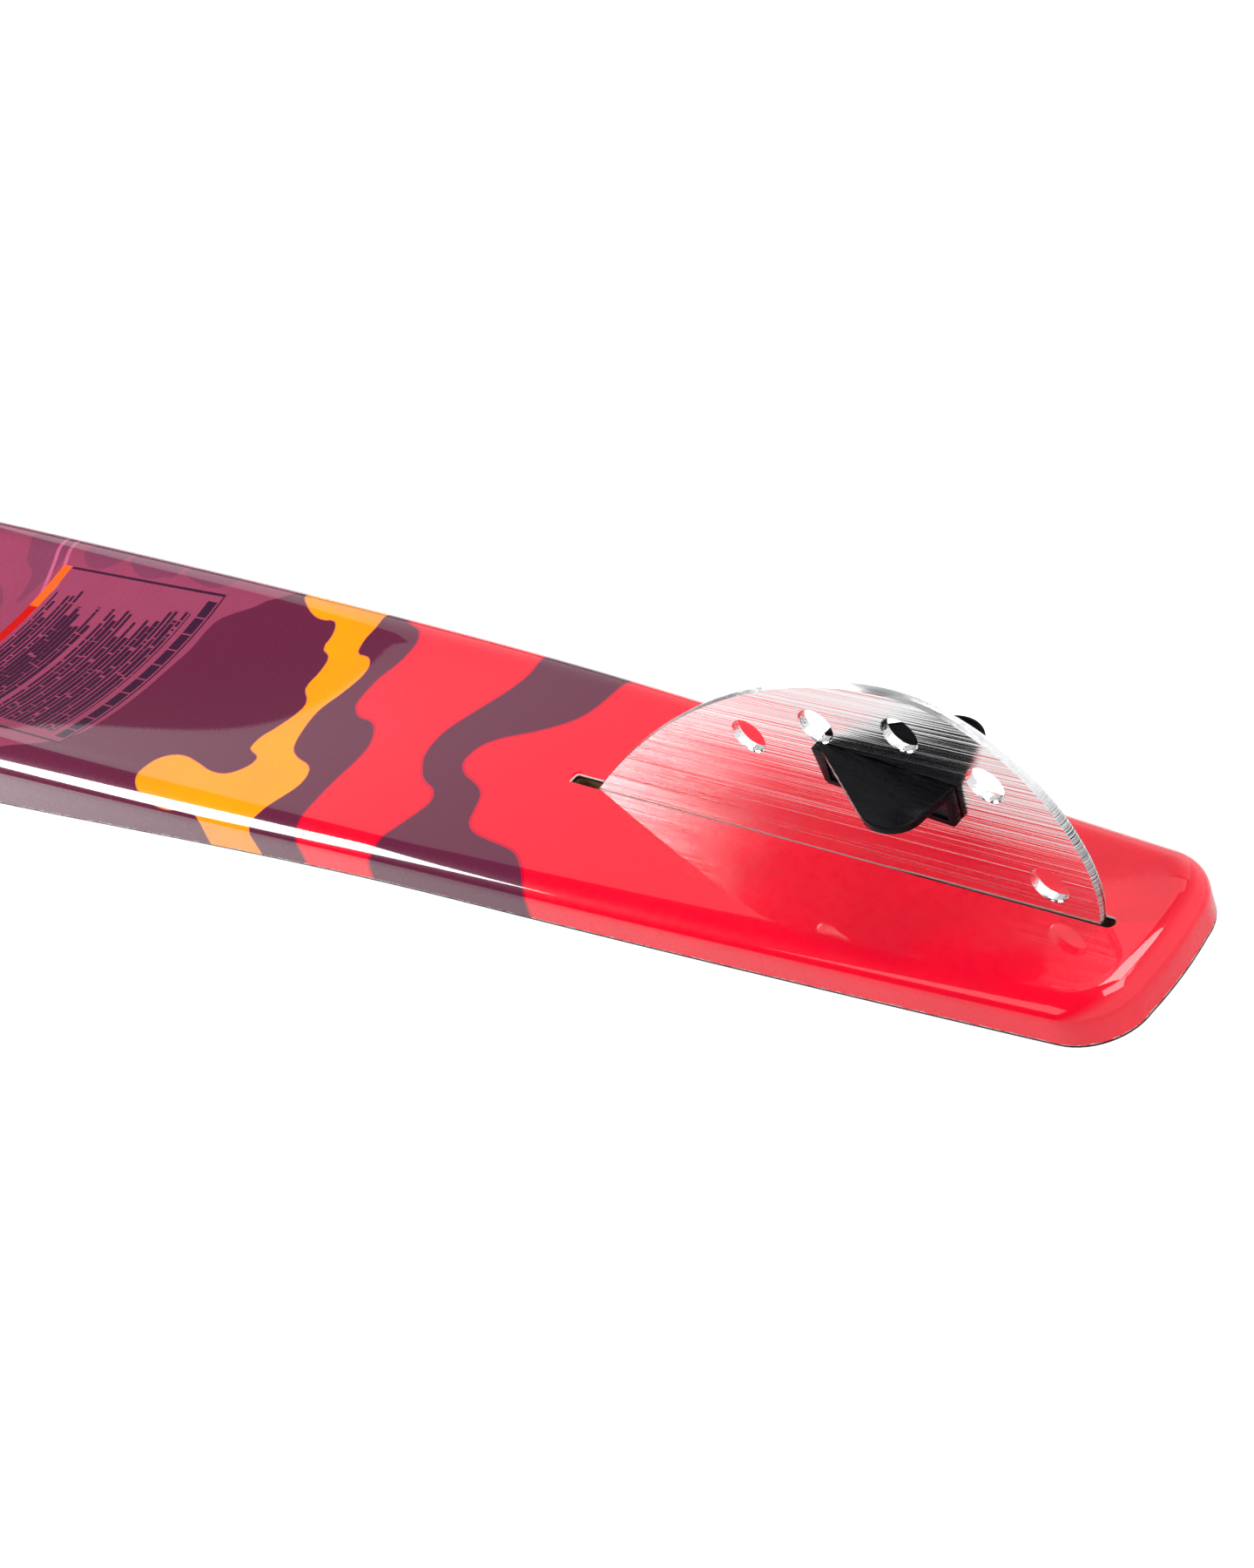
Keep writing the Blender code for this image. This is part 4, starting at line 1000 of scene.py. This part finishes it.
def panel(colour, along, across):
    """The outlined panel with its rows of bars, its ticked strip and its coloured end bar."""
    graph = along.graph
    field = graph.within(along, *PANEL_X) * graph.within(across, *PANEL_V)
    colour = graph.mix(field, colour, MAUVE)
    colour = graph.mix(panel_rows(along, across) * field, colour, INK)
    tick = graph.math("FRACT", across / TICK_PITCH)
    strip = graph.within(along, *STRIP_X) * graph.within(across, *STRIP_V)
    colour = graph.mix(strip * graph.ramp(tick, 0.06, 0.1), colour, INK)
    inner = (graph.within(along, PANEL_X[0] + PANEL_HEAD, PANEL_X[1] - PANEL_LINE)
             * graph.within(across, PANEL_V[0] + PANEL_LINE, PANEL_V[1] - PANEL_LINE))
    colour = graph.mix(graph.math("SUBTRACT", field, inner, clamp=True), colour, INK)
    bar = graph.within(along, *BAR_X) * graph.within(across, *PANEL_V)
    return graph.mix(bar, colour, graph.mix(graph.ramp(across, *BAR_MEET), BAR_RED, BAR_ORANGE))


def forward_print(along, across):
    """The print on the front half: bands of the same colours that wander like contour lines."""
    graph = along.graph
    field = graph.noise(graph.vector(along * 0.0042, across * 0.0085), 1.0, 2.5, 0.45,
                        dimensions="2D")
    level = field + graph.ramp(along, -1480, -430, 0.16, -0.12)
    colour = MAUVE
    for start, tone in FORWARD_BANDS:
        colour = graph.mix(graph.inside(level - start, 0.0015), colour, tone)
    return colour


def printed_colour(graph, along, across):
    """The camouflage print in its painter's order."""
    mauve, orange = graph.value("mauve"), graph.value("orange")
    colour = graph.mix(graph.inside(mauve), MAROON, MAUVE)
    patches = graph.inside(graph.value("patch")) * graph.inside(mauve)
    colour = graph.mix(patches, colour, MAUVE_DARK)
    slant = along + across * STREAK_SLANT
    for start in STREAKS:
        streak = graph.within(slant, start, start + STREAK_WIDTH, 0.4)
        streak = streak * graph.ramp(across, 10, 40) * graph.ramp(along, -352, -360)
        colour = graph.mix(streak, colour, MAUVE_LIGHT)
    colour = graph.mix(graph.ramp(along, *FORWARD_FROM), colour, forward_print(along, across))
    colour = panel(colour, along, across)
    colour = graph.mix(graph.inside(orange), colour, ORANGE)
    colour = graph.mix(graph.ramp(abs(orange - 0.05), 0.28, 0.12), colour, ORANGE_EDGE)
    for name in ("second_red", "tail_red"):
        distance = graph.value(name)
        colour = graph.mix(graph.inside(distance), colour, RED)
        colour = graph.mix(graph.ramp(abs(distance + 0.2), 0.6, 0.45), colour, CRIMSON)
    return colour


def base_material():
    """Printed laminate under a clear gloss layer, with its raw edge at the parting line, and painted shade deep in
    the slot.
    """
    graph = new_material("printed_base", Specular_IOR_Level=0.06, Coat_Weight=1.0,
                         Coat_Roughness=0.03, Coat_IOR=1.5)
    along, across, rise = (graph.value(name) for name in ("along", "across", "rise"))
    spot = graph.position()
    tone = graph.ramp(graph.noise(spot, 0.05, 3.0), 0.35, 0.65, 0.0, 0.08)
    colour = graph.mix(tone, printed_colour(graph, along, across), MAROON)
    fleck = graph.noise(spot, 2.2, 3.0, 0.7)
    ragged = graph.math("MULTIPLY_ADD", graph.noise(spot, 0.35, 4.0, 0.75), 1.5, -0.25)
    raw_tone = graph.mix(graph.ramp(fleck, 0.3, 0.7), RAW_LAMINATE, (0.5, 0.42, 0.4))
    colour = graph.mix(graph.ramp(ragged - rise, -0.06, 0.06), colour, raw_tone)
    depth = SIDE_TAIL / MM - rise
    reach = SLOT_HALF / MM + MOUTH
    mouth = (graph.within(across, -reach, reach, 0.02)
             * graph.within(along, SLOT_X[0] / MM - MOUTH, SLOT_X[1] / MM + MOUTH, 0.02)
             * graph.ramp(depth, 0.01, 0.05))
    # The slot's wall: raw laminate at its mouth, going over to painted shade further down inside the narrow slot
    wall = graph.mix(graph.ramp(depth, 0.5, 0.75), RAW_LAMINATE, SLOT_PAINTED_SHADE)
    colour = graph.mix(mouth, colour, wall)
    rough = graph.ramp(graph.noise(spot, 0.3, 6.0, 0.75), 0.45, 0.75, 0.27, 0.42)
    peel = graph.noise(spot, 0.7, 2.0) + fleck * 0.3
    graph.set("Coat Normal", graph.bump(peel, 0.000006, 0.4))
    return graph.finish(colour, rough, graph.bump(peel, 0.00001, 0.4))


def deck_material():
    """Black woven laminate under a satin layer."""
    graph = new_material("woven_deck", Coat_Weight=0.6, Coat_Roughness=0.25)
    spot = graph.position()
    x, y = (graph.node("ShaderNodeSeparateXYZ", ((0, spot),), axis) for axis in (0, 1))
    warp = graph.math("SINE", (x + y) * (math.pi / WEAVE_PITCH))
    weft = graph.math("SINE", (x - y) * (math.pi / WEAVE_PITCH))
    over = graph.ramp(warp * weft, -0.25, 0.25)
    thread = abs(graph.math("SINE", x * 6.3))
    colour = graph.mix(over, (0.012, 0.012, 0.014), (0.035, 0.035, 0.04))
    colour = graph.mix(thread * 0.25, colour, (0.06, 0.06, 0.065))
    rough = graph.ramp(graph.noise(spot, 0.08, 4.0), 0.3, 0.7, 0.36, 0.52)
    return graph.finish(colour, rough, graph.bump(over, 0.00005, 0.6))


def fin_material():
    """Aluminium brushed along the fin, with deeper strokes and a cut rim."""
    graph = new_material("brushed_fin", Metallic=1.0, Anisotropic=0.97, Specular_IOR_Level=0.5)
    graph.set("Tangent", graph.node("ShaderNodeTangent", direction_type="UV_MAP",
                                    uv_map="brush"))
    fine = graph.noise(graph.position((0.004, 1.0, 3.6)), 1.0, 1.0, 0.6)
    strokes = graph.noise(graph.position((0.006, 1.0, 1.5)), 1.0, 1.0, 0.75)
    cloud = graph.noise(graph.position(), 0.04, 2.0)
    deep = graph.ramp(strokes, 0.56, 0.68)
    rim, round_rim = graph.value("rim"), graph.value("round")
    teeth = graph.noise(graph.vector(round_rim * 2.4, 0.0), 1.0, 4.0, 0.8, dimensions="2D")
    cut_marks = graph.ramp(teeth, 0.47, 0.53) * graph.within(round_rim, *CUT_MARKS, 8) * rim
    colour = graph.mix(graph.ramp(fine, 0.3, 0.7), (0.84, 0.845, 0.85), (0.94, 0.94, 0.945))
    colour = graph.mix(deep * 0.3, colour, (1.0, 1.0, 1.0))
    colour = graph.mix(cut_marks, colour, (0.03, 0.03, 0.035))
    rough = graph.ramp(fine, 0.3, 0.7, 0.09, 0.14) + deep * 0.18 + rim * 0.3
    rough = rough + graph.ramp(cloud, 0.3, 0.7, -0.015, 0.015)
    return graph.finish(colour, rough, graph.bump(fine + strokes * 3.0, 0.00006, 0.8))


def wing_material():
    """Black moulded plastic with a faint sheen, fine grain and scuffs."""
    graph = new_material("wing_plastic", Specular_IOR_Level=0.08)
    spot = graph.position()
    haze = graph.noise(graph.position((0.06, 0.9, 0.9)), 1.0, 5.0, 0.75)
    scuff = graph.ramp(graph.noise(spot, 1.1, 5.0, 0.8), 0.72, 0.78)
    colour = graph.mix(graph.ramp(haze, 0.4, 0.7), (0.0015, 0.0015, 0.003), (0.004, 0.004, 0.006))
    colour = graph.mix(scuff * 0.2, colour, (0.1, 0.1, 0.12))
    rough = graph.ramp(haze, 0.3, 0.7, 0.2, 0.34)
    return graph.finish(colour, rough, graph.bump(graph.noise(spot, 2.5, 3.0), 0.00001, 0.5))


def anodised_material():
    """Black anodised aluminium with a bead-blasted grain and paler rubbed places."""
    graph = new_material("anodised_block", Metallic=1.0)
    spot = graph.position()
    rub = graph.noise(spot, 0.09, 5.0, 0.7)
    grain = graph.noise(spot, 5.0, 2.0)
    colour = graph.mix(graph.ramp(rub, 0.5, 0.8), (0.03, 0.03, 0.034), (0.09, 0.09, 0.1))
    rough = graph.ramp(grain, 0.2, 0.8, 0.36, 0.5)
    return graph.finish(colour, rough, graph.bump(grain, 0.00001, 0.4))


def steel_material():
    """Stainless steel with turning marks."""
    graph = new_material("stainless_steel", Metallic=1.0, Anisotropic=0.3)
    turn = graph.noise(graph.position((0.3, 1.0, 6.0)), 1.0, 4.0, 0.7)
    stain = graph.noise(graph.position(), 0.35, 4.0)
    colour = graph.mix(graph.ramp(stain, 0.3, 0.75), (0.6, 0.6, 0.61), (0.42, 0.41, 0.4))
    rough = graph.ramp(turn, 0.3, 0.7, 0.2, 0.36)
    return graph.finish(colour, rough, graph.bump(turn, 0.00001, 0.4))


def brass_material():
    """Turned brass, dulled in places."""
    graph = new_material("turned_brass", Metallic=1.0)
    spot = graph.position()
    dull = graph.noise(spot, 0.5, 4.0)
    colour = graph.mix(graph.ramp(dull, 0.35, 0.7), (0.72, 0.5, 0.2), (0.36, 0.24, 0.1))
    rough = graph.ramp(dull, 0.3, 0.7, 0.25, 0.5)
    return graph.finish(colour, rough, graph.bump(graph.noise(spot, 3.0, 2.0), 0.00001, 0.4))


def foam_material():
    """Closed-cell foam with its pores."""
    graph = new_material("foam")
    cells = graph.node("ShaderNodeTexVoronoi", (("Scale", 1.6), ("Vector", graph.position())),
                       "Distance")
    pore = graph.ramp(cells, 0.1, 0.6)
    colour = graph.mix(pore, (0.42, 0.34, 0.16), (0.76, 0.68, 0.44))
    return graph.finish(colour, 0.95, graph.bump(pore, 0.0003, 0.6))


def phenolic_material():
    """Pressed brown sheet with its layers."""
    graph = new_material("phenolic")
    layers = graph.noise(graph.position((0.02, 0.1, 4.0)), 1.0, 4.0, 0.6)
    colour = graph.mix(graph.ramp(layers, 0.3, 0.7), (0.13, 0.055, 0.02), (0.28, 0.14, 0.06))
    return graph.finish(colour, 0.55, graph.bump(layers, 0.00003, 0.4))


def floor_material():
    """Plain pale studio floor, which glows more to the camera than to the ski."""
    graph = new_material("studio_floor", Roughness=0.9, Specular_IOR_Level=0.1)
    tone = graph.noise(graph.node("ShaderNodeTexCoord", (), "Object"), 3.0, 2.0)
    graph.set("Base Color", graph.mix(tone, (0.68, 0.68, 0.68), (0.7, 0.7, 0.7)))
    graph.set("Emission Color", (1.0, 1.0, 1.0))
    to_camera = graph.node("ShaderNodeLightPath", (), "Is Camera Ray")
    graph.set("Emission Strength", graph.ramp(to_camera, 0, 1, *FLOOR_GLOW))
    return graph.owner


# ---------------------------------------------------------------- studio

def link(name, data):
    """A new object in the scene."""
    obj = bpy.data.objects.new(name, data)
    bpy.context.scene.collection.objects.link(obj)
    return obj


def floor():
    """A wide floor at the surface that the ski lies on."""
    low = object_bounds()[0].z
    mesh = bpy.data.meshes.new("floor")
    corners = ((-1, -1), (1, -1), (1, 1), (-1, 1))
    mesh.from_pydata([(x * FLOOR_REACH, y * FLOOR_REACH, low) for x, y in corners], [],
                     [(0, 1, 2, 3)])
    plane = link("floor", mesh)
    plane.data.materials.append(floor_material())
    plane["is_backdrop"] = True


def way_to(azimuth, elevation):
    """A direction in the tail frame, its azimuth measured from -x towards +y."""
    return Vector((-math.cos(azimuth) * math.cos(elevation),
                   math.sin(azimuth) * math.cos(elevation), math.sin(elevation)))


def softbox(name, azimuth, elevation, distance, radiance):
    """A rectangular light that faces the tail frame's origin, radiance bright.

    Azimuth and elevation are its limits in degrees as seen from there.
    """
    turn, lift = (math.radians(sum(ends) / 2) for ends in (azimuth, elevation))
    spans = [math.radians(abs(ends[1] - ends[0])) for ends in (azimuth, elevation)]
    way = way_to(turn, lift)
    data = bpy.data.lights.new(name, "AREA")
    data.shape = "RECTANGLE"
    data.size = 2 * distance * math.tan(spans[0] / 2) * math.cos(lift)
    data.size_y = 2 * distance * math.tan(spans[1] / 2)
    data.energy = radiance * math.pi * data.size * data.size_y
    light = link(name, data)
    light.visible_camera = False
    light.location = TAIL @ (way * distance)
    side_way = Vector((math.sin(turn), math.cos(turn), 0))
    face = Matrix((side_way, way.cross(side_way), way)).transposed()
    light.rotation_euler = (TAIL.to_3x3() @ face).to_euler()


def surround():
    """A pale surround that is dark where the glossy base mirrors it, and white to the camera."""
    world = bpy.data.worlds.new("studio")
    graph = Graph(world, "Background", Color=(0.98, 0.99, 1.0))
    dark_way = way_to(*(math.radians(angle) for angle in DARK_SIDE))
    facing = graph.node("ShaderNodeVectorMath",
                        ((0, graph.node("ShaderNodeTexCoord", (), "Generated")), (1, dark_way)),
                        "Value", operation="DOT_PRODUCT")
    inner, outer = (math.cos(math.radians(angle)) for angle in DARK_REACH)
    fade = graph.ramp(facing, outer, inner, SURROUND, SURROUND_DARK)
    to_camera = graph.node("ShaderNodeLightPath", (), "Is Camera Ray")
    graph.set("Strength", graph.node("ShaderNodeMix",
                                     ((0, to_camera), (2, fade), (3, BACKDROP))))
    bpy.context.scene.world = world


def camera():
    """The photograph's viewpoint."""
    back = Vector(CAMERA_BACK).normalized()
    right = Vector(CAMERA_RIGHT)
    right = (right - back * right.dot(back)).normalized()
    turn = Matrix((right, back.cross(right), back)).transposed().to_4x4()
    data = bpy.data.cameras.new("camera")
    data.lens = CAMERA_LENS
    data.clip_start, data.clip_end = CAMERA_CLIP
    eye = link("camera", data)
    eye.matrix_world = TAIL @ Matrix.Translation(CAMERA_AT) @ turn
    bpy.context.scene.camera = eye


# ---------------------------------------------------------------- assembly

def paint(obj, material):
    """Give a piece its one material."""
    obj.data.materials.clear()
    obj.data.materials.append(material)


def paint_cad_nodes():
    """Give every CAD node that still shows its detailed material."""
    makers = {"foam": foam_material, "phenolic": phenolic_material,
              "insert_brass": brass_material, "block_anodised": anodised_material,
              "fastener_steel": steel_material}
    made = {}
    slots = {part["node"]: part["material_slot"] for part in frame["record"]["subparts"]}
    for name, node in frame["nodes"].items():
        if node.hide_render:
            continue
        slot = slots[name]
        if slot not in made:
            made[slot] = makers[slot]()
        for index in range(len(node.material_slots)):
            node.material_slots[index].link = "OBJECT"
            node.material_slots[index].material = made[slot]


def main():
    base = base_skin()
    add_print(base)
    settle(base)
    paint(base, base_material())
    place(base, "ski", "base_shell")
    under = deck_skin()
    settle(under)
    paint(under, deck_material())
    place(under, "ski", "top_shell")
    blade = fin_blade()
    blade.matrix_world = TAIL
    paint(blade, fin_material())
    place(blade, "fin", "fin_blade")
    plastic = wing_material()
    for name, sign, node in (("near_wing", -1, "wing_right"), ("far_wing", 1, "wing_left")):
        piece = wing(name, sign)
        paint(piece, plastic)
        place(piece, "wings", node)
    paint_cad_nodes()
    floor()
    for settings in SOFTBOXES:
        softbox(*settings)
    surround()
    camera()
    bpy.context.scene.view_settings.view_transform = "Standard"


main()
